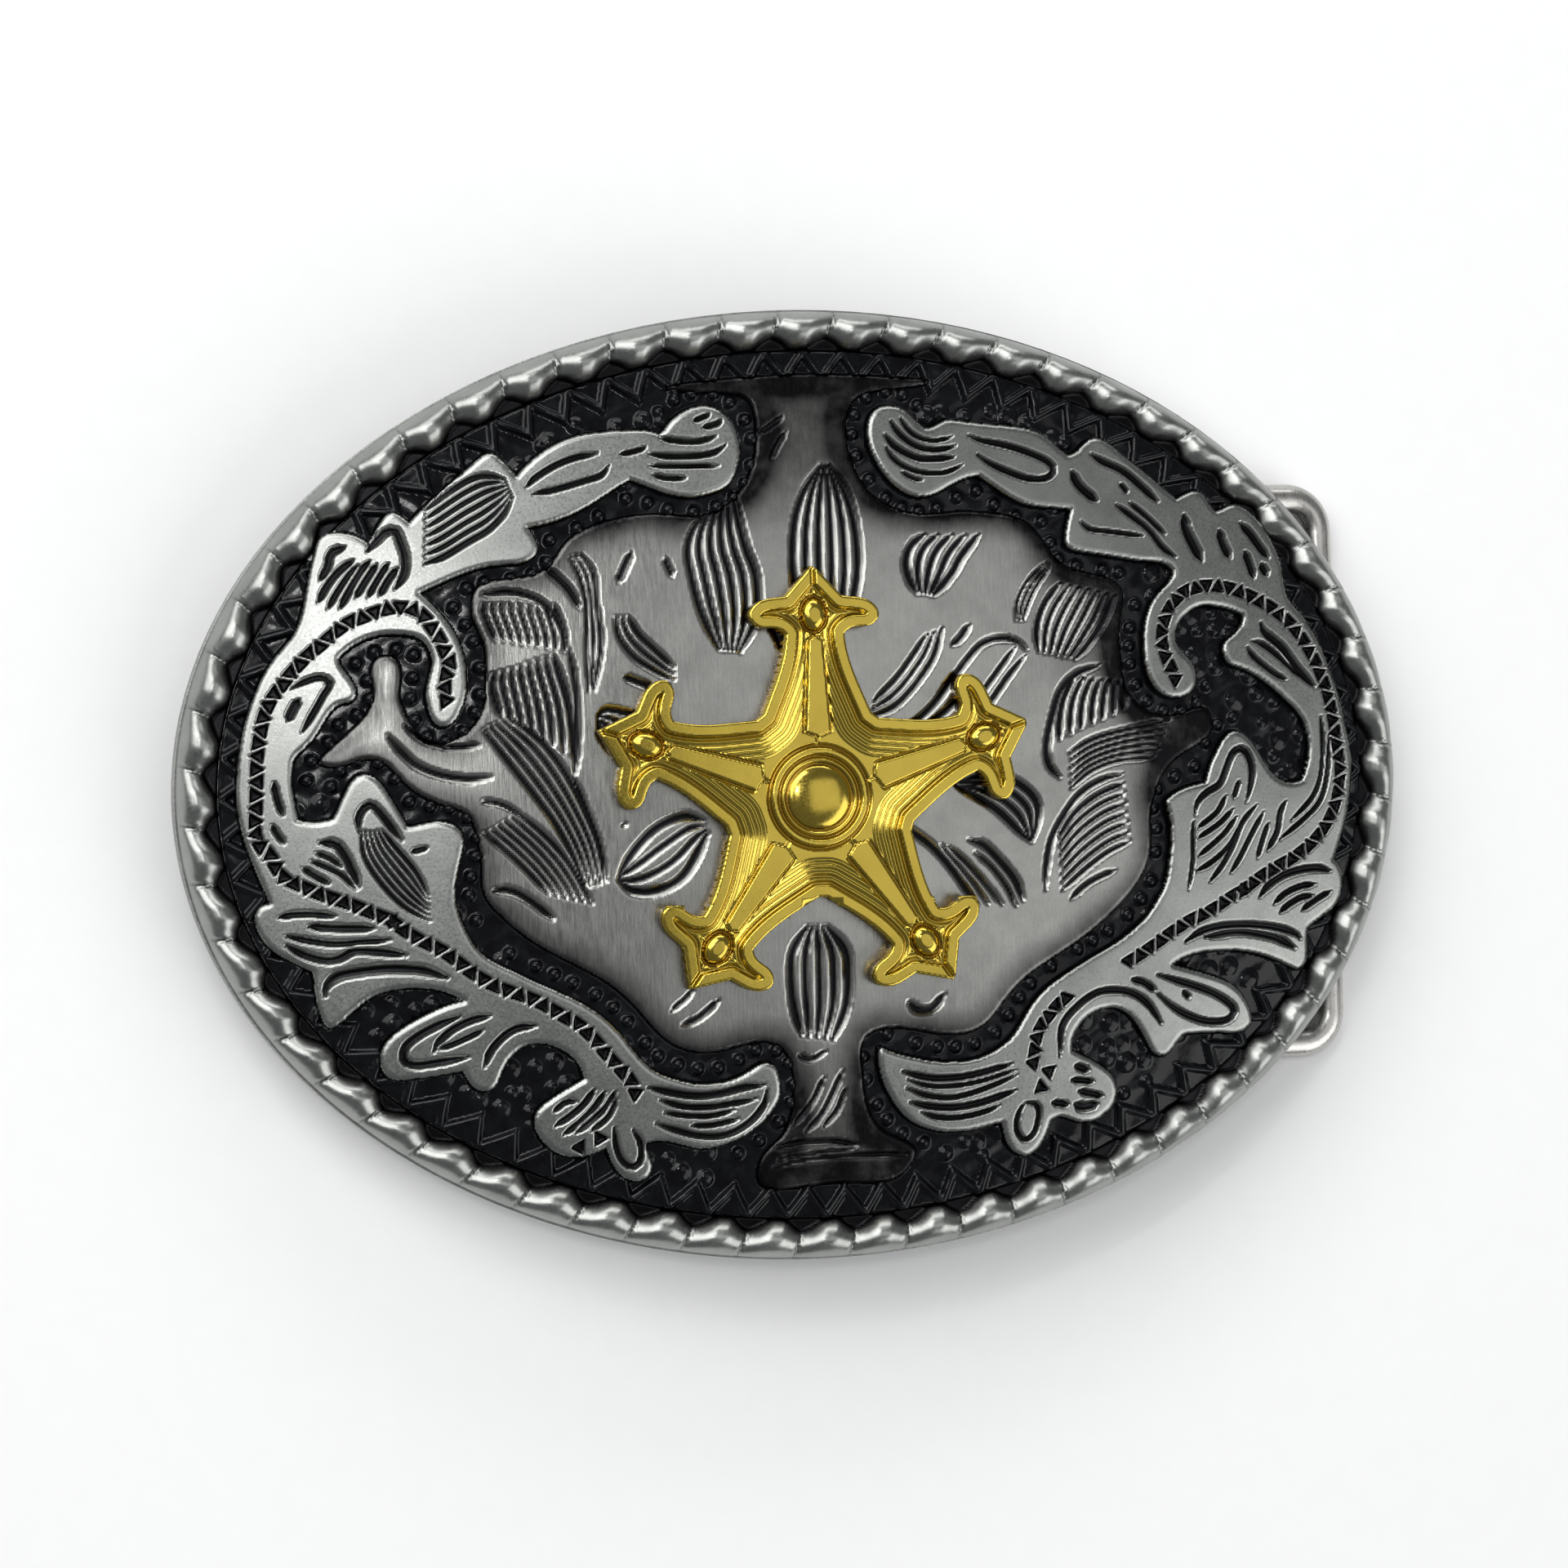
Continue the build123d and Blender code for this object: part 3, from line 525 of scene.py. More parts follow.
enamel = Sheet(outline_of("black_enamel"), ENAMEL_STEP)
oval = np.hypot(enamel.x / ROPE_INNER[0], enamel.y / ROPE_INNER[1])
slope = np.hypot(enamel.x / ROPE_INNER[0] ** 2, enamel.y / ROPE_INNER[1] ** 2) / np.maximum(oval, 0.01)
from_rope = (1.0 - oval) / np.maximum(slope, 0.005)
angle = np.mod(np.arctan2(enamel.y / ROPE_INNER[1], enamel.x / ROPE_INNER[0]), 2.0 * math.pi)
tooth = np.interp(angle, oval_angles(*ROPE_INNER, TEETH * 8), np.arange(TEETH * 8 + 1) / 8.0)
tooth = np.abs(np.mod(tooth, 1.0) - 0.5) * 2.0
flank = TOOTH_LEAN * (TOOTH_DEPTH * (1.0 - tooth) - from_rope)
lip = TOOTH_HEIGHT * np.sqrt(np.clip(1.0 - (flank / TOOTH_LIP) ** 2, 0.0, 1.0))
enamel.rise = np.maximum(lip, 0.45 * TOOTH_HEIGHT * soft_step(flank, -0.1, 0.3))

for scroll in ("scroll_left", "scroll_right"):
    pieces = outlines[scroll]
    middle = 0.5 * (pieces[:, :2] + pieces[:, 2:])
    along = pieces[:, 2:] - pieces[:, :2]
    size = np.maximum(np.hypot(*along.T), 1e-9)
    spots = middle + BEAD_OFFSET * np.stack((along[:, 1], -along[:, 0]), axis=1) / size[:, None]
    to_panel = nearest(spots[:, 0], spots[:, 1], outlines["centre_panel"], 2.5)[0]
    to_scroll = nearest(spots[:, 0], spots[:, 1], pieces, 2.5)[0]
    placed = []
    for (x, y), panel_gap, scroll_gap in zip(spots, to_panel, to_scroll):
        if panel_gap > 1.9 or scroll_gap < BEAD_OFFSET - 0.12:
            continue
        if all(math.hypot(x - px, y - py) > BEAD_PITCH for px, py in placed):
            placed.append((x, y))
            enamel.bead(x, y, BEAD_RADIUS, BEAD_HEIGHT)

chance = np.random.default_rng(7)
free_x, free_y = np.meshgrid(np.arange(-45.0, 45.5, PEBBLE_PITCH), np.arange(-33.0, 33.5, PEBBLE_PITCH))
free_x = free_x.ravel() + chance.uniform(-0.6, 0.6, free_x.size)
free_y = free_y.ravel() + chance.uniform(-0.6, 0.6, free_y.size)
clear = nearest(free_x, free_y, outlines["centre_panel"], 3.0)[0] > 2.4
for x, y in zip(free_x[clear], free_y[clear]):
    radius, height = chance.uniform(0.45, 0.85), chance.uniform(0.16, 0.34)
    if math.hypot(x / 43.0, y / 30.9) < 1.0:
        enamel.bead(x, y, radius, height)
ripple = 0.03 * np.sin(enamel.x * 2.1 + 1.3 * np.sin(enamel.y * 1.4)) * np.sin(enamel.y * 1.9)
enamel_above = ENAMEL_TOP - 0.1 + ripple + enamel.rise
enamel_mesh = enamel.build("black_ground", enamel_above, 0.0)

enamel_gloss = bpy.data.materials.new("black_enamel_gloss")
enamel_gloss.use_nodes = True
gloss_links = enamel_gloss.node_tree.links
gloss_shader = enamel_gloss.node_tree.nodes["Principled BSDF"]
gloss_shader.inputs["Specular IOR Level"].default_value = 0.22
gloss_where = millimetre_coordinates(enamel_gloss)
gloss_cloud = add_node(enamel_gloss, "ShaderNodeTexNoise", Scale=0.8, Detail=5.0, Roughness=0.6)
gloss_fleck = add_node(enamel_gloss, "ShaderNodeTexNoise", Scale=7.0, Detail=2.0, Roughness=0.5)
gloss_links.new(gloss_where, gloss_cloud.inputs["Vector"])
gloss_links.new(gloss_where, gloss_fleck.inputs["Vector"])
gloss_tone = mix_colours(
    enamel_gloss, spread(enamel_gloss, gloss_cloud.outputs["Fac"], 0.4, 0.7), (0.002, 0.002, 0.003),
    (0.005, 0.006, 0.007),
)
gloss_dust = spread(enamel_gloss, gloss_fleck.outputs["Fac"], 0.66, 0.78, 0.0, 0.5)
gloss_colour = mix_colours(enamel_gloss, gloss_dust, gloss_tone, (0.02, 0.02, 0.021))
gloss_links.new(gloss_colour, gloss_shader.inputs["Base Color"])
gloss_rough = spread(enamel_gloss, gloss_cloud.outputs["Fac"], 0.3, 0.75, 0.09, 0.20)
gloss_links.new(gloss_rough, gloss_shader.inputs["Roughness"])
gloss_bump = add_node(enamel_gloss, "ShaderNodeBump", Distance=0.03 * MM, Strength=0.6)
gloss_links.new(gloss_cloud.outputs["Fac"], gloss_bump.inputs["Height"])
gloss_links.new(gloss_bump.outputs["Normal"], gloss_shader.inputs["Normal"])
finish_piece("black_ground", enamel_mesh, enamel_gloss, "enamel", "black_enamel")

# ---------------------------------------------------------------------------------------
# Centre panel: brushed nickel field cut all over with leaf sprays in the western manner.
# Cast with the plate and blackened; darker towards the ends, partly patina, partly painted shade.
# ---------------------------------------------------------------------------------------

PANEL_TOP = 0.5
PANEL_STEP = 0.165
PANEL_EDGE = 0.3
PANEL_CUT = 0.34

# Leaf sprays: first edge line, last edge line, number of strands between them
PANEL_SPRAYS = [
    ([(-7.9, 21.2), (-9.1, 20), (-9.7, 18.4), (-9.6, 16.8), (-8.9, 13.5), (-7.6, 10.5)],
     [(-5.9, 22.2), (-5.6, 20), (-5.1, 17.9), (-4.5, 16), (-4.6, 13), (-6, 10.3)], 5),
    ([(-18.9, 17.9), (-18.1, 16.3), (-17.7, 14), (-17.8, 11), (-17.8, 7.6)],
     [(-18, 18), (-17.1, 16.6), (-16.9, 14), (-16.7, 11), (-17.4, 7.5)], 2),
    ([(-25.6, 14.4), (-25.2, 13), (-24.6, 11.6)],
     [(-20.2, 14.2), (-19.6, 12.4), (-19.4, 10.6)], 8),
    ([(-25, 9), (-24.9, 7.5), (-24.4, 5.8)],
     [(-20.4, 10.4), (-19.3, 6.4), (-19, 2.4)], 7),
    ([(-25.8, 4.8), (-23.9, 2.2), (-22, -0.4), (-20.5, -2.6), (-19.3, -5), (-18.4, -7.4)],
     [(-24, 5.8), (-21.6, 3.9), (-19.9, 1.6), (-18.6, -1), (-17.5, -3.8), (-16.9, -7)], 4),
    ([(-26, -3), (-24.4, -4.4), (-22.8, -6), (-21.2, -7.8)],
     [(-23.4, -1.6), (-21.4, -3.4), (-19.6, -5.6), (-18, -8.6)], 5),
    ([(-17.2, 5.6), (-16.4, 6.1), (-15, 5.8), (-13, 5.2)],
     [(-17.2, 5.2), (-16.6, 3.6), (-15.2, 2.4), (-13, 2.2)], 4),
    ([(-15.6, 13.2), (-15.2, 11.5), (-14.1, 10), (-12.8, 9.1), (-11.2, 8.2)],
     [(-14.6, 13.2), (-13.8, 11.8), (-12.8, 10.8), (-11.2, 9.2)], 2),
    ([(-15.9, -6.6), (-14.7, -4.8), (-13, -3.1), (-10.8, -2.2), (-9.2, -2.6)],
     [(-15.9, -6.9), (-14.9, -7.7), (-13, -7.8), (-10.8, -6.6), (-9, -3.6)], 3),
    ([(0.9, 24.6), (-0.4, 22.6), (-1.2, 20.4), (-1.5, 18.2), (-1.5, 16), (-0.9, 13.6), (0.2, 11.6)],
     [(1.6, 24.6), (2.8, 22.6), (3.4, 20.4), (3.6, 18.2), (3.5, 16), (2.8, 13.4), (1.6, 11.4)], 5),
    ([(9, 19.1), (8, 18.4), (7.5, 17.2), (7.6, 16), (8.2, 14.6)],
     [(13.4, 19), (12.6, 18.2), (11.8, 17.2), (11.2, 16.2), (9.6, 14.4)], 4),
    ([(19, 16.9), (17.5, 15.6), (16.5, 14), (16.2, 12.4)],
     [(19.2, 16.4), (18, 14.9), (17.2, 13.4), (16.8, 12.3)], 2),
    ([(20, 15.2), (18.7, 13.6), (18, 11.8), (18, 9.9)],
     [(24.6, 14.2), (23.6, 12.2), (22.2, 10.4), (21, 9.2)], 6),
    ([(8.9, 11.4), (7.6, 9.6), (6.2, 7.9), (4.4, 6.3)],
     [(10.1, 11.9), (9.4, 9.7), (7.9, 7.6), (6, 5.8), (4, 5)], 2),
    ([(10.7, -0.2), (12.4, 0.2), (14.4, 0.2), (16, -0.4), (17.4, -1.8), (17.4, -3.6), (17, -4.9)],
     [(10.9, -0.5), (12.4, -1.2), (14.2, -2.4), (15.8, -3.9), (16.8, -4.9)], 3),
    ([(20.9, 7.8), (20, 6.2), (19.6, 4.6), (19.5, 3)],
     [(25.2, 7.4), (25.1, 6.2), (25, 5.2)], 6),
    ([(20.2, 1.9), (22.4, 3), (25.4, 3.7), (29, 4.3)],
     [(20.3, -0.9), (22, 0.4), (24.4, 1.2), (27.6, 1.4)], 5),
    ([(24.8, -0.6), (22.6, -1.4), (20.6, -2.8), (19.2, -4.6)],
     [(25.2, -5.2), (23.4, -5.9), (21.4, -7.2), (19.4, -8.8)], 6),
    ([(-1.4, -11), (-2.5, -12.8), (-2.7, -14.6), (-2.5, -17), (-1.9, -19.3)],
     [(0.2, -11), (1.6, -12.8), (1.8, -14.6), (1.6, -17.2), (0.6, -19.7)], 4),
]

# Single strokes: width, then the points of the stroke
PANEL_STROKES = [
    (0.6, [(-15.2, 15.9), (-14.7, 17), (-14.2, 18)]),
    (0.4, [(-11.6, 17.6), (-11, 16.2)]),
    (0.5, [(-20.7, 17), (-19.8, 16.2), (-18.9, 15.2), (-18.2, 13.9)]),
    (0.4, [(-25.6, 15.1), (-23.4, 15.2), (-21.4, 14.6), (-20.2, 13.4), (-19.3, 11.6)]),
    (0.4, [(-19.2, 10.8), (-18.8, 8.5), (-18.7, 5.5), (-18.8, 3.2), (-19.1, 1)]),
    (0.35, [(-19.1, 1), (-18, -2), (-17.2, -4.5), (-16.9, -7)]),
    (0.3, [(-26.2, -0.6), (-24.6, -0.9), (-23, -1.9)]),
    (0.5, [(-25.4, -7.4), (-24, -7.5), (-22.6, -8.3), (-20.9, -9.7)]),
    (0.5, [(-15, 8.6), (-14.1, 8.2), (-12.9, 7.7)]),
    (0.2, [(-15.6, -2.7), (-15.2, -2.7)]),
    (0.45, [(-33, 4.5), (-32.1, 3.4), (-31, 2.3), (-29.3, 1.5), (-27.2, 1.1), (-25.4, 1.2)]),
    (0.3, [(-31.7, 5.3), (-31, 4.6), (-29.9, 3.9), (-28, 3.5), (-26.1, 3.7)]),
    (0.6, [(-3.5, 12.4), (-3, 11.4), (-2.6, 10.4)]),
    (0.5, [(-4.1, -5.6), (-4.7, -7)]),
    (0.45, [(-2.4, -7.2), (-2.9, -8.6), (-3, -10)]),
    (0.55, [(12.3, 12), (11.6, 11.1), (10.9, 10.5)]),
    (0.5, [(5.1, 3.4), (7.2, 4.2), (9.2, 5.9), (10.8, 7.8), (12.2, 9.5), (13.4, 10.6), (15, 11),
            (16.4, 10.6), (17, 10)]),
    (0.45, [(16.9, 9.6), (15.6, 8.2), (14.5, 6.8), (13.3, 5.3), (11.4, 3.4), (9.5, 2.6), (7.8, 2.1)]),
    (0.45, [(7.6, 3.8), (9.4, 4.8), (10.8, 5.9), (12.2, 7.1)]),
    (0.4, [(10, 3.9), (11.6, 5), (13, 6.5), (14.4, 8.2), (16.1, 10.3)]),
    (0.55, [(10.1, 1.1), (11.4, 1.5), (12.6, 2.3), (13.7, 2.9)]),
    (0.5, [(6, -3.1), (7.5, -4.1), (8.9, -5.2), (10.3, -6.8), (11.4, -8.4), (12.3, -9.8)]),
    (0.3, [(9.4, -4.9), (10.8, -6.5), (12.2, -8.2), (13.3, -9.8)]),
    (0.35, [(10, -5.1), (11.4, -6.3), (13, -8.1), (14.4, -9.8)]),
    (0.55, [(11.7, -4.6), (13, -5.1), (14.4, -6.5), (15.5, -7.9), (16.1, -9.5)]),
    (0.35, [(12.2, -5.6), (13.6, -6.8), (14.8, -8.4), (15.5, -9.9)]),
    (0.6, [(23, 8.7), (21.1, 8.1), (19.7, 6.8), (18.9, 4.6), (18.4, 2.4), (18.6, 0.9), (19.4, 0)]),
    (0.5, [(24.7, 0.1), (23.1, -0.2), (21.2, -1.2), (19.7, -2.9), (18.6, -4.8), (18.1, -7.1), (18, -8.7)]),
    (0.45, [(20.1, -9.5), (21.5, -8.4), (23, -7.7), (23.9, -7.4)]),
    (0.6, [(6.6, -17), (7.4, -17.7), (8.6, -17.6), (9.5, -16.6)]),
    (0.35, [(-12, -17), (-10.9, -16.1), (-10.4, -15.5)]),
    (0.45, [(-11.2, -18.1), (-10, -17.7), (-8.4, -16.4)]),
    (0.35, [(-2.6, -26.2), (-1.8, -25.4), (-0.9, -24.2), (-0.2, -22.6)]),
    (0.4, [(-1.6, -26.8), (-0.4, -25.6), (0.5, -24), (1.3, -22.2)]),
    (0.35, [(-0.2, -26.4), (0.9, -25.2), (1.5, -23.6)]),
    (0.3, [(-2.2, -20.8), (-1.2, -21.2), (0, -20.6)]),
    (0.4, [(-3.9, -27.9), (-1.8, -27.6), (0.4, -27.6), (2.6, -28)]),
    (0.25, [(-3.8, -28.9), (0, -28.4), (2.6, -28.3)]),
    (0.35, [(-4.2, -29.4), (-2, -29), (0.5, -28.8), (3.5, -28.8), (6.4, -28.9)]),
    (0.35, [(-2.9, 25.2), (-2.4, 26.2), (-1.7, 27.2)]),
    (0.35, [(-3.8, 27.1), (-3, 27.6), (-1.9, 28.4)]),
]


panel = Sheet(outlines["centre_panel"], PANEL_STEP)
for first, last, strands in PANEL_SPRAYS:
    panel.fan(first, last, strands, PANEL_CUT)
for stroke_width, stroke in PANEL_STROKES:
    panel.engrave(stroke, stroke_width, PANEL_CUT)
# Painted shade in part: the top and bottom ends are darkened partly as patina and partly for the dark
# reflection of the curved field.
ends = 0.60 * soft_step(np.abs(panel.y + 1.0), 17.0, 28.0)
right_end = 0.80 * soft_step(panel.x, 20.5, 30.0) * soft_step(panel.y, -5.0, 3.0)
upper_right = 0.45 * soft_step(panel.x, 14.0, 23.0) * soft_step(panel.y, 3.0, 12.0)
border = 0.66 * soft_step(panel.edge, 2.8, 0.0)
panel.dark = np.maximum(panel.dark, np.minimum(ends + right_end + upper_right + border, 0.86))
panel_above = PANEL_TOP - panel.round_edge(PANEL_EDGE) - panel.cut
panel_mesh = panel.build("centre_field", panel_above, 0.0)
nickel = antique_metal(
    "brushed_nickel", (0.40, 0.40, 0.38), PEWTER_BLACK, (0.27, 0.30), (1.0, 0.10, 1.0), 0.20, 0.010
)
finish_piece("centre_field", panel_mesh, nickel, "nickel_panel", "centre_panel")

# ---------------------------------------------------------------------------------------
# Two leafy scrolls, nearly mirror images, cast proud of the ground and rubbed satin bright.
# Their leaves are cut with strands, and a row of three cornered punch marks follows the stem.
# ---------------------------------------------------------------------------------------

SCROLL_TOP = 1.0
SCROLL_STEP = 0.115
SCROLL_EDGE = 0.42
SCROLL_CUT = 0.42
PUNCH_SIZE = 1.28
PUNCH_PITCH = 0.98
PUNCH_SHIFT = -0.10
CUT_WIDENING = 1.15

LEFT_STROKES = [
    (0.35, [(-22, 23.2), (-21.3, 23.9), (-19.8, 24.8), (-18.2, 25.4), (-16.5, 25.7)]),
    (0.35, [(-15.7, 24.7), (-16.3, 24), (-17.6, 23.6), (-19, 23.2), (-20.2, 22.9), (-21.5, 22.7)]),
    (0.3, [(-14.7, 25.6), (-13.7, 25.8), (-12.8, 26.1)]),
    (0.35, [(-11.6, 26.8), (-10.4, 26.6), (-8.8, 26.5), (-7.3, 26.9)]),
    (0.35, [(-12.5, 25.6), (-11, 25.4), (-9.1, 25.4), (-7.6, 25.6), (-6.6, 26.2)]),
    (0.28, [(-12.5, 24.7), (-10.4, 24.6), (-8.5, 24.6), (-7.2, 24.6)]),
    (0.3, [(-12.3, 24), (-11.2, 23.7), (-9.8, 23.7)]),
    (0.3, [(-8.9, 28.1), (-7.7, 28.6)]),
    (0.35, [(-8.2, 27.6), (-7.3, 27.8), (-6.8, 28.1)]),
    (0.45, [(-37.7, 16.5), (-37.1, 17.4), (-36.8, 18.5), (-35.8, 18.9)]),
    (0.4, [(-37.9, 14.8), (-37.2, 16), (-36.4, 17), (-35.2, 17.9)]),
    (0.35, [(-37.2, 14.3), (-36.4, 15.6), (-35.6, 16.7), (-34.9, 17.5)]),
    (0.4, [(-36.3, 14.3), (-35.5, 15.7), (-34.7, 17), (-34, 17.8)]),
    (0.4, [(-35.1, 15.1), (-34.4, 16.2), (-33.5, 17.5)]),
    (0.35, [(-34.2, 15.1), (-33.4, 16.4), (-32.6, 17.6)]),
    (0.4, [(-33.3, 15.2), (-32.6, 16.4), (-31.9, 17.2)]),
    (0.5, [(-32.1, 15.7), (-31.4, 16.8), (-31.3, 18.1), (-31.6, 19.2), (-31.9, 20), (-32.7, 20),
            (-33.5, 19.2), (-34.1, 18.6)]),
    (0.35, [(-39.4, 5), (-38.4, 6.6), (-37.7, 7.8), (-37.2, 8.6), (-37.9, 9.1), (-39.1, 8.8),
            (-40.1, 8.3)]),
    (0.5, [(-40.4, 5.9), (-40.1, 6.6), (-39.6, 7.4)]),
    (0.35, [(-41.6, 1.2), (-41.4, 0), (-41, -1.3)]),
    (0.3, [(-41.8, -2), (-41.4, -2.8), (-40.9, -3.4)]),
    (0.5, [(-38.3, -3.4), (-37.1, -3.6), (-36.4, -4.6), (-35.9, -5.8), (-35.5, -6.8)]),
    (0.3, [(-38.6, -4.2), (-37.6, -4.6), (-36.7, -5.3)]),
    (0.3, [(-39, -4.8), (-37.8, -5.3), (-36.6, -6), (-35.7, -7)]),
    (0.35, [(-39.6, -5.3), (-38.6, -6), (-37.7, -6.5)]),
    (0.4, [(-35.4, -2.6), (-35.4, -1.6), (-34.9, -0.8), (-34.3, -0.7), (-33.6, -1.5), (-32.9, -2.5),
            (-32.2, -3.4)]),
    (0.3, [(-31.5, -4.3), (-30.4, -4)]),
    (0.35, [(-41.5, -9), (-40.5, -8.8), (-39, -8.8), (-37.3, -9)]),
    (0.45, [(-39.3, -9.7), (-37.3, -9.9), (-34.5, -10)]),
    (0.35, [(-41, -10.4), (-39.3, -10.8), (-37.3, -11.1), (-35, -11), (-33.3, -10.9)]),
    (0.45, [(-41, -11.1), (-39.8, -11.8), (-38.2, -12.3), (-37, -12.2), (-36, -11.7), (-34.1, -11.8),
            (-32.1, -12.1)]),
    (0.6, [(-38.2, -15), (-38.1, -14.3), (-37.3, -13.6), (-35.9, -13.3), (-33.5, -13.1), (-30.9, -13.3),
            (-29.1, -13.9)]),
    (0.45, [(-28.2, -16.9), (-29.6, -17.4), (-31.2, -18.2), (-32.3, -19.1), (-32.4, -20.1), (-31.5, -20.5),
            (-29.6, -20.3), (-27.6, -20)]),
    (0.4, [(-25.9, -16.9), (-27.3, -17.2), (-28.8, -17.9), (-29.8, -18.8), (-30.2, -19.5)]),
    (0.3, [(-26.5, -18), (-27.6, -18.5), (-28.8, -19), (-29.8, -19.3)]),
    (0.4, [(-26.4, -20.8), (-25.9, -19.6), (-24.9, -18.5), (-23.8, -17.9), (-22.5, -17.8)]),
    (0.3, [(-21.2, -24.4), (-20.3, -23.7), (-19.5, -23.7)]),
    (0.35, [(-21.1, -25.5), (-20, -24.8), (-18.9, -23.9), (-18.1, -22.8)]),
    (0.35, [(-20.5, -26.2), (-19.2, -25.3), (-18.1, -24.2), (-17.3, -23)]),
    (0.35, [(-19.5, -26.1), (-18.2, -25.1), (-17.1, -24.1), (-16.5, -23)]),
    (0.3, [(-18.4, -26), (-17.1, -25), (-16.4, -23.6)]),
    (0.35, [(-16.6, -25.8), (-16.5, -27), (-16.1, -28.2), (-15.3, -28.9), (-14.6, -28.4), (-14.6, -27),
            (-15.2, -26)]),
    (0.45, [(-14, -22.8), (-12.1, -23.3), (-10.3, -23.6), (-8.4, -23.5), (-6.5, -23.1), (-5, -23)]),
    (0.35, [(-13.1, -23.8), (-11.2, -24.4), (-9.2, -24.5), (-7.3, -24.3), (-5.6, -24)]),
    (0.3, [(-12.8, -24.8), (-11.1, -25.1), (-9.2, -25.2), (-7.3, -24.8)]),
    (0.3, [(-10.7, -25.9), (-8.9, -25.9), (-7, -25.5)]),
    (0.4, [(-13.4, -25.6), (-11.8, -26.2), (-10, -26.7), (-7.9, -26.7), (-6.1, -25.8), (-5, -24.5),
            (-4.8, -23.4)]),
]
LEFT_FANS = [
    ([(-29.7, 21.6), (-27.7, 23), (-26.1, 23.9), (-24.9, 24.1), (-23.6, 23.8)],
     [(-29.9, 17.5), (-28.5, 18), (-26.6, 19.1), (-25, 20), (-23.8, 21.2), (-23.1, 22.4)], 6),
    ([(-35.3, -2.6), (-35, -4.6), (-33.9, -6.5), (-32.3, -8.3), (-30.3, -9.6)],
     [(-33.7, -2.6), (-32.9, -3.7), (-32, -4.8), (-31.2, -5.9), (-30.4, -7.6)], 5),
]
LEFT_FANS = [
    ([(-29.7, 21.6), (-27.7, 23), (-26.1, 23.9), (-24.9, 24.1), (-23.6, 23.8)],
     [(-29.9, 17.5), (-28.5, 18), (-26.6, 19.1), (-25, 20), (-23.8, 21.2), (-23.1, 22.4)], 6),
    ([(-35.3, -2.6), (-35, -4.6), (-33.9, -6.5), (-32.3, -8.3), (-30.3, -9.6)],
     [(-33.7, -2.6), (-32.9, -3.7), (-32, -4.8), (-31.2, -5.9), (-30.4, -7.6)], 5),
]
LEFT_STEM = [
    [(-28.6, 7.1), (-28.7, 8.5), (-28.3, 9.8), (-28.8, 11.3), (-29.6, 12.8), (-30.7, 14), (-32.4, 14.2),
            (-34.2, 13.7), (-36, 13), (-37.5, 11.8), (-39.2, 10.4), (-40.7, 8.7), (-41.9, 7), (-42.5, 5),
            (-42.8, 3), (-42.9, 1), (-43, -1), (-43, -3), (-41.9, -4.5), (-41.2, -5.9), (-39.9, -6.6),
            (-38.2, -7.4), (-36.5, -8), (-34.9, -8.7), (-33, -9.5)],
    [(-33, -9.6), (-31.4, -10.8), (-29.2, -12), (-27.6, -13.3), (-26, -14.4), (-24.2, -15.2),
            (-22.4, -15.9), (-20.6, -17), (-19, -18), (-17.8, -19.3), (-16.6, -20.8), (-15.5, -22),
            (-14.9, -23.2)],
    [(-19.2, -27.3), (-17.8, -26.5)],
]
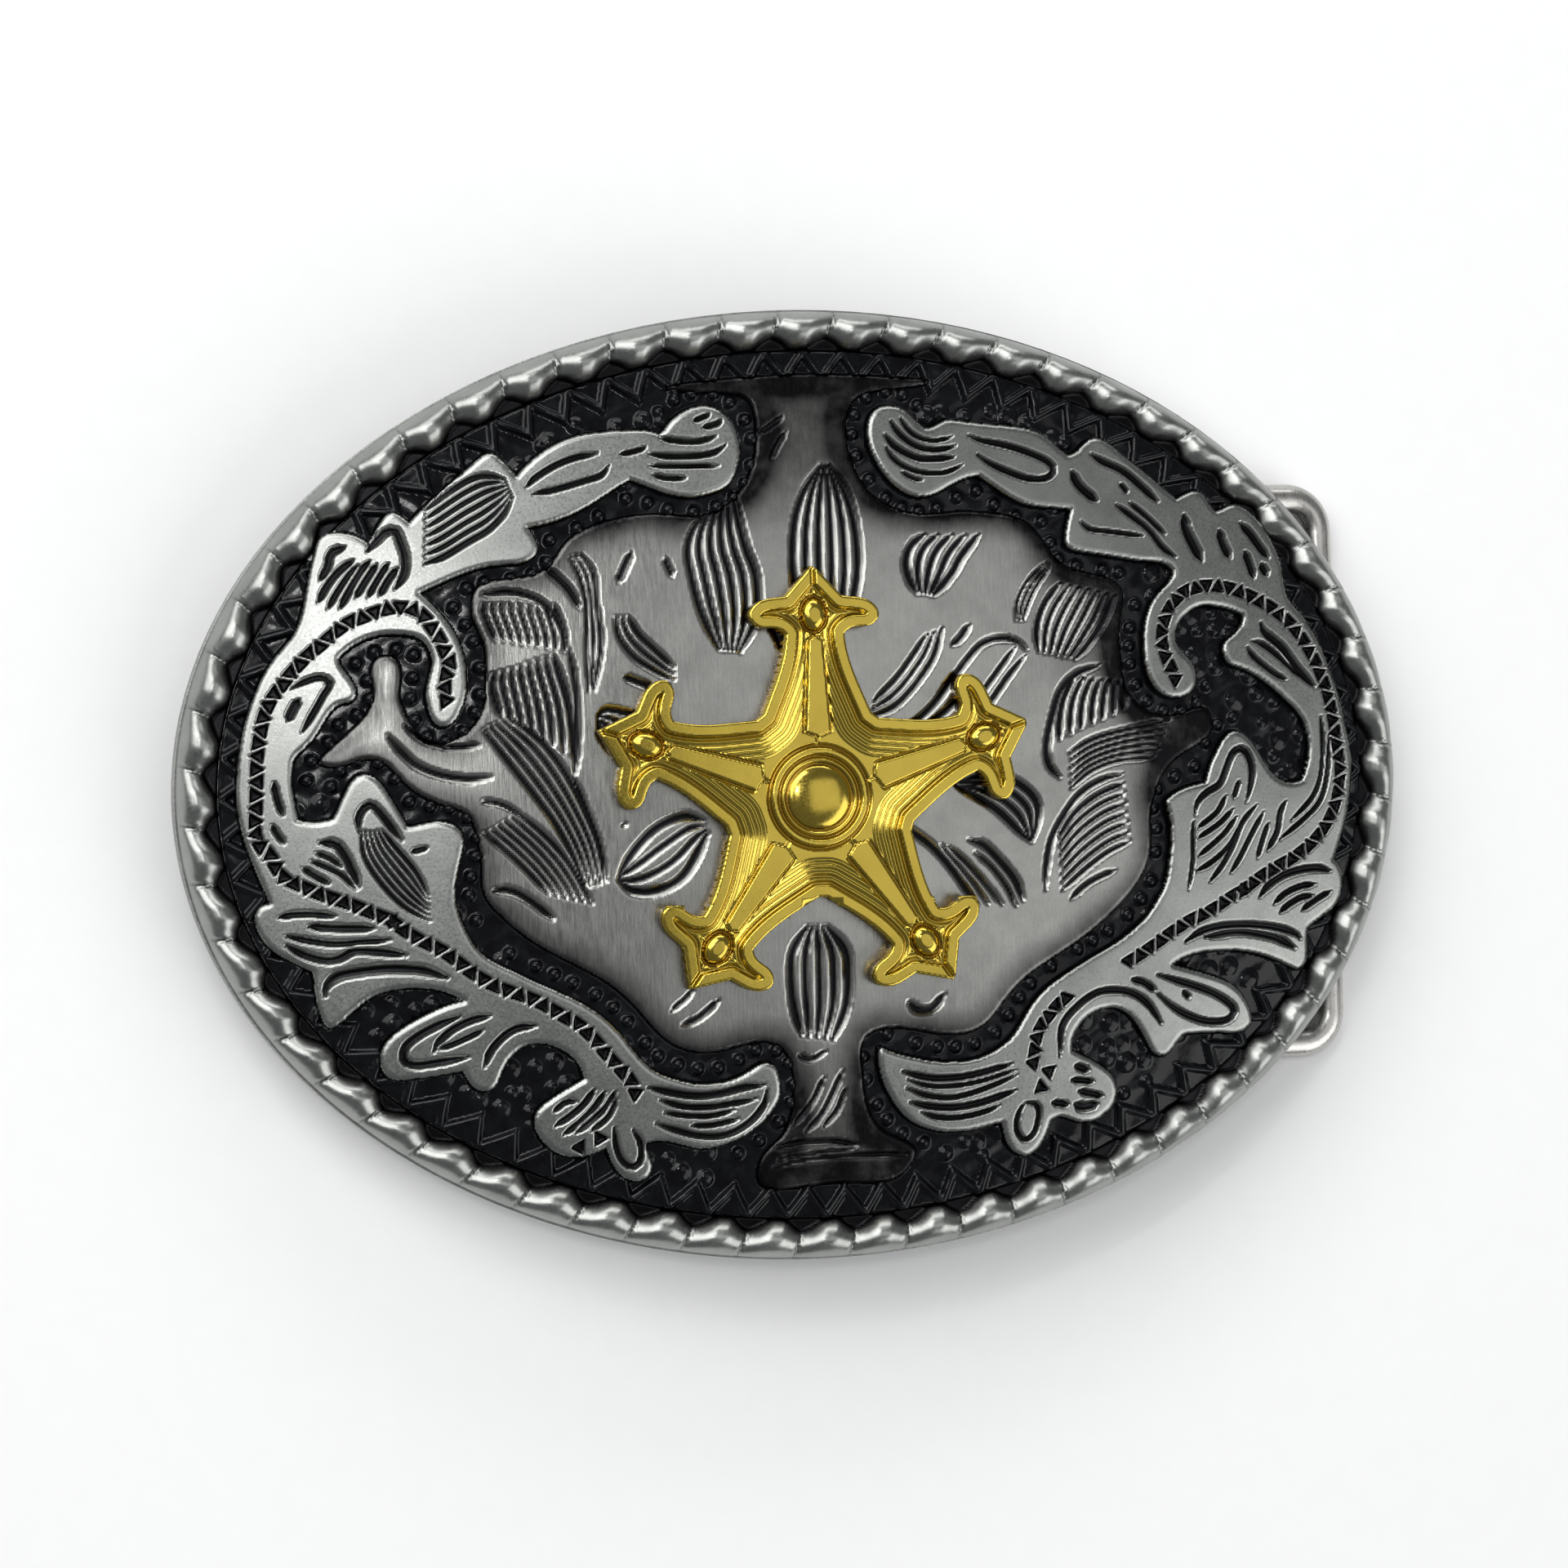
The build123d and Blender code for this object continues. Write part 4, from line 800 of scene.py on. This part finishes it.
RIGHT_STROKES = [
    (0.22, [(7.4, 28.2), (7.8, 27.5), (8.7, 26.7), (10.1, 26.4), (11.6, 26.7)]),
    (0.3, [(6.6, 28), (7, 27.3), (7.9, 26.4), (9.1, 25.8), (10.5, 25.7), (11.8, 26)]),
    (0.35, [(6.1, 26.9), (6.7, 26.1), (7.8, 25.4), (8.9, 25), (10.3, 25), (11.6, 25.1)]),
    (0.25, [(6.1, 26), (6.6, 25.1), (7.7, 24.3), (9.1, 23.9), (10.8, 23.9), (12.3, 24.5)]),
    (0.2, [(7.3, 24), (8.1, 23.5), (8.9, 23.3)]),
    (0.35, [(12.9, 26.8), (13.9, 26.4), (15.5, 26.1), (17, 25.7), (18.6, 25.1), (19.5, 24.6), (19.8, 24),
            (19.1, 23.4), (17.6, 23.4), (16.1, 23.9), (14.5, 24.6), (13.5, 25.3)]),
    (0.5, [(21.3, 23.9), (21.9, 22.8), (23.3, 21.6)]),
    (0.4, [(23, 25.3), (24, 24.7), (25.6, 24), (27.1, 22.8), (28.5, 21.5)]),
    (0.25, [(25.3, 23), (26, 22.2)]),
    (0.25, [(26, 21.5), (27.5, 20.3), (29, 18.9)]),
    (0.3, [(24.9, 21.3), (26.3, 20.3), (27.6, 19.3), (28.7, 17.9), (29.8, 17.1)]),
    (0.25, [(21.8, 20), (22.5, 19.4), (24, 19.2), (27.1, 18.8)]),
    (0.6, [(30.7, 20.4), (30.9, 19.2), (31.5, 17.9), (32.1, 16.8)]),
    (0.5, [(33.7, 19.2), (34.1, 17.9), (34.6, 17)]),
    (0.45, [(35.6, 19.8), (36.5, 18.9), (37.3, 17.8), (38, 17)]),
    (0.45, [(35.9, 17.5), (36.3, 16.4), (36.6, 15.4)]),
    (0.5, [(37.3, 16.5), (37.8, 15.6)]),
    (0.3, [(35.7, 9.9), (36.2, 9.2), (37.2, 8.4), (38.2, 7.7), (39.1, 7.3)]),
    (0.35, [(36.2, 10.4), (37, 10.2), (38.2, 9.4), (39.4, 8.4), (40.5, 7.4)]),
    (0.5, [(37, 11.8), (37.3, 11.1), (38.8, 9.9), (40.2, 8.1), (41.6, 6.7)]),
    (0.3, [(42.1, 4.3), (42.2, 1.5), (41.9, -0.6), (41, -2.3), (39.2, -3.9)]),
    (0.3, [(42.8, 2.8), (42.6, 0), (41.9, -2.3), (40.4, -3.8), (38.1, -5.4)]),
    (0.35, [(38.7, -2.4), (38.2, -3.3), (37.9, -4.8), (37, -6.2)]),
    (0.4, [(30.7, -3.2), (30.9, -2.3), (31.8, -1.5), (32.9, -0.9), (33.5, 0.3), (34.1, 1.5), (34.9, 1.9),
            (35.5, 1.3), (35.8, 0), (35.5, -1.5), (35.2, -2.3)]),
    (0.3, [(34.6, -0.7), (34.1, -2)]),
    (0.3, [(33.4, -1.8), (32.6, -3.1), (30.9, -4.3)]),
    (0.3, [(34, -2.9), (32.8, -4), (30.9, -5.1)]),
    (0.3, [(34.3, -3.5), (33.2, -4.8), (31.8, -5.9), (30.9, -6.5)]),
    (0.3, [(34.9, -3.8), (33.7, -5.7), (32.1, -7), (30.7, -7.7)]),
    (0.3, [(36.1, -2.6), (34.8, -4), (34, -5.7), (32.9, -7.4), (31.8, -8.6)]),
    (0.3, [(36.7, -3.2), (35.5, -5.1), (34.5, -6.8), (33.7, -7.9)]),
    (0.3, [(37.1, -4.1), (36.5, -5.6), (36.1, -6.8)]),
    (0.25, [(30.5, -3.7), (30.4, -6.8), (30, -9.1)]),
    (0.45, [(36.2, -9.9), (37, -9.1), (38.4, -8.3), (40, -7.9), (41.6, -7.8), (42.6, -8.1)]),
    (0.35, [(37.5, -10.5), (38.6, -9.7), (40, -9.2), (41.2, -9.1)]),
    (0.35, [(38, -11.2), (38.9, -10.6), (40, -10.1), (41, -10)]),
    (0.35, [(40, -11.1), (41.2, -10.4), (42.6, -9.7)]),
    (0.45, [(29.7, -13.2), (31, -12.5), (33, -12.1), (35.3, -12.1), (37.6, -12.4), (39.3, -12.9),
            (39.8, -13.4)]),
    (0.5, [(31.4, -12.9), (34.5, -12.6), (37.6, -13.2), (39.3, -14.1)]),
    (0.4, [(27.2, -15.7), (29, -16.3), (31.4, -17.1), (33, -17.9), (33.9, -18.8), (33.2, -19.6),
            (31.4, -19.6), (29.5, -18.9), (28.1, -18), (27.2, -17.2)]),
    (0.3, [(29.4, -17.1), (30, -17.7)]),
    (0.35, [(25, -16), (26.1, -16.3), (27, -17)]),
    (0.4, [(27.5, -19.6), (26.4, -18), (25.1, -17.1), (23.5, -16.8), (21.9, -17), (20.2, -18.1),
            (19.1, -19.5), (18.9, -21.8)]),
    (0.4, [(6, -22.4), (8.1, -23), (10.2, -23.1), (12.5, -22.8), (14.9, -22.2)]),
    (0.28, [(6.4, -23), (8.1, -23.6), (10.2, -23.7), (12.5, -23.4), (15.2, -22.7)]),
    (0.3, [(6.3, -23.7), (8.1, -24.4), (10.2, -24.6), (12.5, -24.1), (15.3, -23.1)]),
    (0.4, [(6.6, -24.8), (8.1, -25.2), (10.2, -25.4), (12.5, -25.1), (15.2, -24.3)]),
    (0.3, [(7.5, -25.6), (8.8, -26.1), (10.6, -26.2), (12.5, -25.9), (13.9, -25.4)]),
    (0.3, [(16, -25.3), (15.5, -26), (15.3, -27.3), (15.9, -28.2), (16.7, -27.8), (17.1, -26.6),
            (17, -25.5), (16, -25.3)]),
    (0.45, [(20.2, -22.6), (21.3, -23)]),
    (0.35, [(19.9, -23.7), (21.7, -23.9)]),
    (0.4, [(20.5, -24.6), (22.5, -25.1)]),
    (0.4, [(18.3, -25.4), (19.6, -25.6)]),
    (0.6, [(20.2, -25.6), (20.9, -25.9), (22, -25.7)]),
]
RIGHT_STEM = [
    [(29.4, 7.5), (28.6, 9.2), (28.3, 11), (28.9, 12.8), (30.2, 14.2), (32.2, 14.8), (34.4, 14.6),
            (36.3, 13.9), (38.2, 12.9), (39.9, 11.5), (41, 10), (42, 8.2), (42.8, 6), (43.2, 4), (43.5, 2),
            (43.7, 0), (43.5, -1.6), (42.9, -3.4), (41.6, -5.2), (39.8, -6.6), (38.2, -7.4), (36.4, -8.3),
            (34.8, -9.3)],
    [(34.8, -9.3), (33.4, -10), (31.8, -10.9), (30, -11.6), (28.2, -12.6), (26.6, -13.6), (24.8, -14.6)],
    [(19.4, -17.2), (18.2, -18.3), (17.1, -19.8), (16.8, -21.3), (16.6, -22.2)],
    [(17.9, -22.9), (17.4, -24.2)],
]


def cut_scroll(node_name, strokes, fans, stems, tarnish):
    """Finished scroll: rounded edges, engraved leaves and the punched stem."""
    sheet = Sheet(outlines[node_name], SCROLL_STEP)
    for stroke_width, stroke in strokes:
        sheet.engrave(stroke, CUT_WIDENING * stroke_width, SCROLL_CUT)
    for first, last, strands in fans:
        sheet.fan(first, last, strands, SCROLL_CUT)
    for stem in stems:
        run = np.hypot(*np.diff(smooth_line(stem), axis=0).T).sum()
        marks = smooth_line(stem, int(run / PUNCH_PITCH) + 1)
        heading = np.gradient(marks, axis=0)
        for number, ((x, y), (dx, dy)) in enumerate(zip(marks, heading)):
            side = 1.0 if number % 2 else -1.0
            across = math.atan2(dy, dx) + side * 0.5 * math.pi
            x, y = x + PUNCH_SHIFT * math.cos(across), y + PUNCH_SHIFT * math.sin(across)
            sheet.punch(x, y, across, PUNCH_SIZE, SCROLL_CUT)
    above = SCROLL_TOP - sheet.round_edge(SCROLL_EDGE) - sheet.cut
    sheet.dark = np.maximum(sheet.dark, 0.9 * soft_step(sheet.edge, 0.10, 0.0))
    mesh = sheet.build(node_name + "_leaves", above, 0.0)
    metal = antique_metal(
        node_name + "_pewter", PEWTER, PEWTER_BLACK, (0.31, 0.30), (1.0, 1.0, 1.0), 0.20, 0.005, tarnish
    )
    finish_piece(node_name + "_leaves", mesh, metal, "pewter_scroll", node_name)


cut_scroll("scroll_left", LEFT_STROKES, LEFT_FANS, LEFT_STEM, 0.0)
cut_scroll("scroll_right", RIGHT_STROKES, [], RIGHT_STEM, 0.12)

# ---------------------------------------------------------------------------------------
# Gilt star: a separate casting with five fleur tipped arms, pinned through the panel.
# Flat rim, stepped ridges inside it, a polished bar down each arm and studs at the tips.
# ---------------------------------------------------------------------------------------

STAR_TOP = 2.3
STAR_FOOT = 0.5
STAR_MIDDLE = (-0.5, -1.0)
STAR_ARMS = 5
STAR_STEP = 0.088
RIM_WIDTH = 0.85
STAR_GOLD = (0.56, 0.42, 0.07)
GOLD_SHADE = (0.24, 0.13, 0.015)

star = Sheet(outline_of("star_ornament"), STAR_STEP)
off_x, off_y = star.x - STAR_MIDDLE[0], star.y - STAR_MIDDLE[1]
bearing = np.arctan2(off_y, off_x) - 0.5 * math.pi
sector = 2.0 * math.pi / STAR_ARMS
bearing = np.mod(bearing + 0.5 * sector, sector) - 0.5 * sector
reach = np.hypot(off_x, off_y)
along_arm, across_arm = reach * np.cos(bearing), np.abs(reach * np.sin(bearing))

field = soft_step(star.edge, RIM_WIDTH, RIM_WIDTH + 0.12)
ridges = 0.13 * (0.5 + 0.5 * np.cos((star.edge - RIM_WIDTH) * 2.0 * math.pi / 0.50))
lowered = field * (0.46 - ridges - 0.10 * soft_step(star.edge, 1.2, 2.2))
star_above = STAR_TOP - lowered - star.round_edge(0.16)
bar_half = np.interp(along_arm, [4.6, 5.0, 12.0, 12.4], [0.0, 1.05, 0.62, 0.0])
bar = soft_step(bar_half - across_arm, 0.0, 0.14)
bar_moat = soft_step(bar_half + 0.22 - across_arm, 0.0, 0.12)
star_above = np.where(bar_moat > 0.0, np.minimum(star_above, STAR_TOP - 0.45 * bar_moat), star_above)
star_above = np.maximum(star_above, STAR_TOP - 0.05 - 0.7 * (1.0 - bar))
stud = np.hypot((along_arm - 14.0) / 1.25, across_arm / 0.95)
stud_height = 0.62 * np.sqrt(np.clip(1.0 - stud**2, 0.0, 1.0))
star_above = np.where(stud < 1.0, STAR_TOP - 0.55 + stud_height, star_above)
star_above = np.where((stud >= 1.0) & (stud < 1.22), STAR_TOP - 0.6, star_above)
boss_steps = [(4.15, 0.50), (3.85, 0.10), (3.35, 0.50), (3.05, 0.28), (2.75, 0.52)]
for boss_radius, drop in boss_steps:
    ring = soft_step(boss_radius - reach, 0.0, 0.12)
    star_above = star_above * (1.0 - ring) + (STAR_TOP - drop) * ring
dome = np.sqrt(np.clip(1.0 - (reach / 2.45) ** 2, 0.0, 1.0))
star_above = np.where(reach < 2.45, STAR_TOP - 0.52 + 0.50 * dome, star_above)
star_above = np.clip(star_above, STAR_FOOT + 0.3, STAR_TOP)
star.dark = np.clip((STAR_TOP - 0.36 - star_above) / 0.2, 0.0, 1.0) * soft_step(star.edge, 0.4, 0.8)
star_mesh = star.build("gilt_star", star_above, STAR_FOOT - 0.15)
gilding = antique_metal(
    "gilt_brass", STAR_GOLD, GOLD_SHADE, (0.17, 0.24), (1.0, 1.0, 1.0), 0.16, 0.0025, -0.05
)
finish_piece("gilt_star", star_mesh, gilding, "gilt", "star_ornament")

# ---------------------------------------------------------------------------------------
# Behind the plate: two pins of the star spread over like rivets, two bored lugs for the
# bail, and the hook prong on its flange. Lugs and flange are cast with the plate.
# ---------------------------------------------------------------------------------------

pin_metal = antique_metal(
    "pin_brass", (0.80, 0.58, 0.22), (0.10, 0.06, 0.02), (0.34, 0.42), (1.0, 1.0, 1.0), 0.25, 0.02,
    0.1, False,
)
prong_metal = antique_metal(
    "prong_steel", (0.58, 0.58, 0.57), PEWTER_BLACK, (0.30, 0.36), (1.0, 1.0, 0.2), 0.18, 0.01,
    0.05, False,
)
for node_name in ("ornament_pin_left", "ornament_pin_right"):
    dress(node_name, pin_metal)
for node_name in ("hinge_lug_upper", "hinge_lug_lower", "prong_base"):
    dress(node_name, cast_back)
dress("prong", prong_metal)

# ---------------------------------------------------------------------------------------
# Wire bail: one length of nickel plated steel wire bent to a rectangle, its ends turned
# in through the lugs so that it swings up off the strap.
# ---------------------------------------------------------------------------------------

wire_metal = antique_metal(
    "wire_nickel", (0.62, 0.61, 0.58), (0.05, 0.045, 0.04), (0.30, 0.40), (1.0, 0.15, 1.0), 0.20, 0.008,
    0.04, False,
)
dress("bail", wire_metal)

# ---------------------------------------------------------------------------------------
# Studio: the buckle lies on white paper under a broad soft box at the left, with a fill
# from the right and one from behind. A small glow, a small glare and one thin strip pick out the metal.
# The camera looks down from a little to the left, turned slightly.
# ---------------------------------------------------------------------------------------

floor_mesh = bpy.data.meshes.new("floor")
floor_bm = bmesh.new()
bmesh.ops.create_grid(floor_bm, x_segments=1, y_segments=1, size=3.0)
floor_bm.to_mesh(floor_mesh)
floor_bm.free()
floor = bpy.data.objects.new("floor", floor_mesh)
bpy.context.scene.collection.objects.link(floor)
paper = bpy.data.materials.new("white_paper")
paper.use_nodes = True
paper_shader = paper.node_tree.nodes["Principled BSDF"]
paper_shader.inputs["Roughness"].default_value = 0.85
paper_grain = add_node(paper, "ShaderNodeTexNoise", Scale=0.4, Detail=3.0)
paper.node_tree.links.new(millimetre_coordinates(paper), paper_grain.inputs["Vector"])
paper_colour = mix_colours(paper, paper_grain.outputs["Fac"], (0.90, 0.90, 0.90), (0.93, 0.93, 0.93))
paper.node_tree.links.new(paper_colour, paper_shader.inputs["Base Color"])
floor_mesh.materials.append(paper)


def soft_light(name, place, target, size, power):
    """Flat area light that faces a point. Place, target and size in metres."""
    lamp = bpy.data.lights.new(name, "AREA")
    lamp.shape = "RECTANGLE"
    lamp.size, lamp.size_y = size
    lamp.energy = power
    light = bpy.data.objects.new(name, lamp)
    light.location = place
    light.rotation_euler = (Vector(target) - Vector(place)).to_track_quat("-Z", "Y").to_euler()
    bpy.context.scene.collection.objects.link(light)


soft_light("key_box", (-0.52, 0.46, 0.62), (0, 0, 0), (0.85, 0.75), 6.2)
soft_light("fill_box", (0.66, -0.46, 0.55), (0, 0, 0), (0.80, 0.70), 4.0)
soft_light("back_box", (0.10, 0.90, 0.35), (0, 0, 0), (0.90, 0.30), 2.8)
soft_light("middle_glow", (0.22, 0.02, 0.66), (0, 0, 0), (0.34, 0.36), 0.32)
soft_light("left_glare", (-0.185, 0.105, 0.70), (0, 0, 0), (0.07, 0.09), 0.52)
soft_light("glint_strip", (-0.22, 0.40, 0.60), (0, 0, 0), (0.30, 0.012), 0.35)
world = bpy.data.worlds.new("studio_room")
world.use_nodes = True
world.node_tree.nodes["Background"].inputs["Color"].default_value = (0.95, 0.97, 1.0, 1.0)
world.node_tree.nodes["Background"].inputs["Strength"].default_value = 0.20
bpy.context.scene.world = world
bpy.context.scene.view_settings.view_transform = "Standard"

VIEW_TURN = math.radians(13.0)
VIEW_ROLL = math.radians(1.58)
VIEW_DISTANCE = 0.340
back = Vector((-math.sin(VIEW_TURN), 0.0, math.cos(VIEW_TURN)))
right = Vector((0.0, 1.0, 0.0)).cross(back).normalized()
up = back.cross(right)
level_right = right * math.cos(VIEW_ROLL) - up * math.sin(VIEW_ROLL)
level_up = right * math.sin(VIEW_ROLL) + up * math.cos(VIEW_ROLL)
camera_data = bpy.data.cameras.new("camera")
camera_data.lens = 100.21
camera_data.sensor_width = 36.0
camera = bpy.data.objects.new("camera", camera_data)
turned = Matrix((level_right, level_up, back)).transposed().to_4x4()
place = Vector((0.0, 0.0, 0.006)) + back * VIEW_DISTANCE - level_right * 0.00181 + level_up * 0.00002
camera.matrix_world = Matrix.Translation(place) @ turned
bpy.context.scene.collection.objects.link(camera)
bpy.context.scene.camera = camera
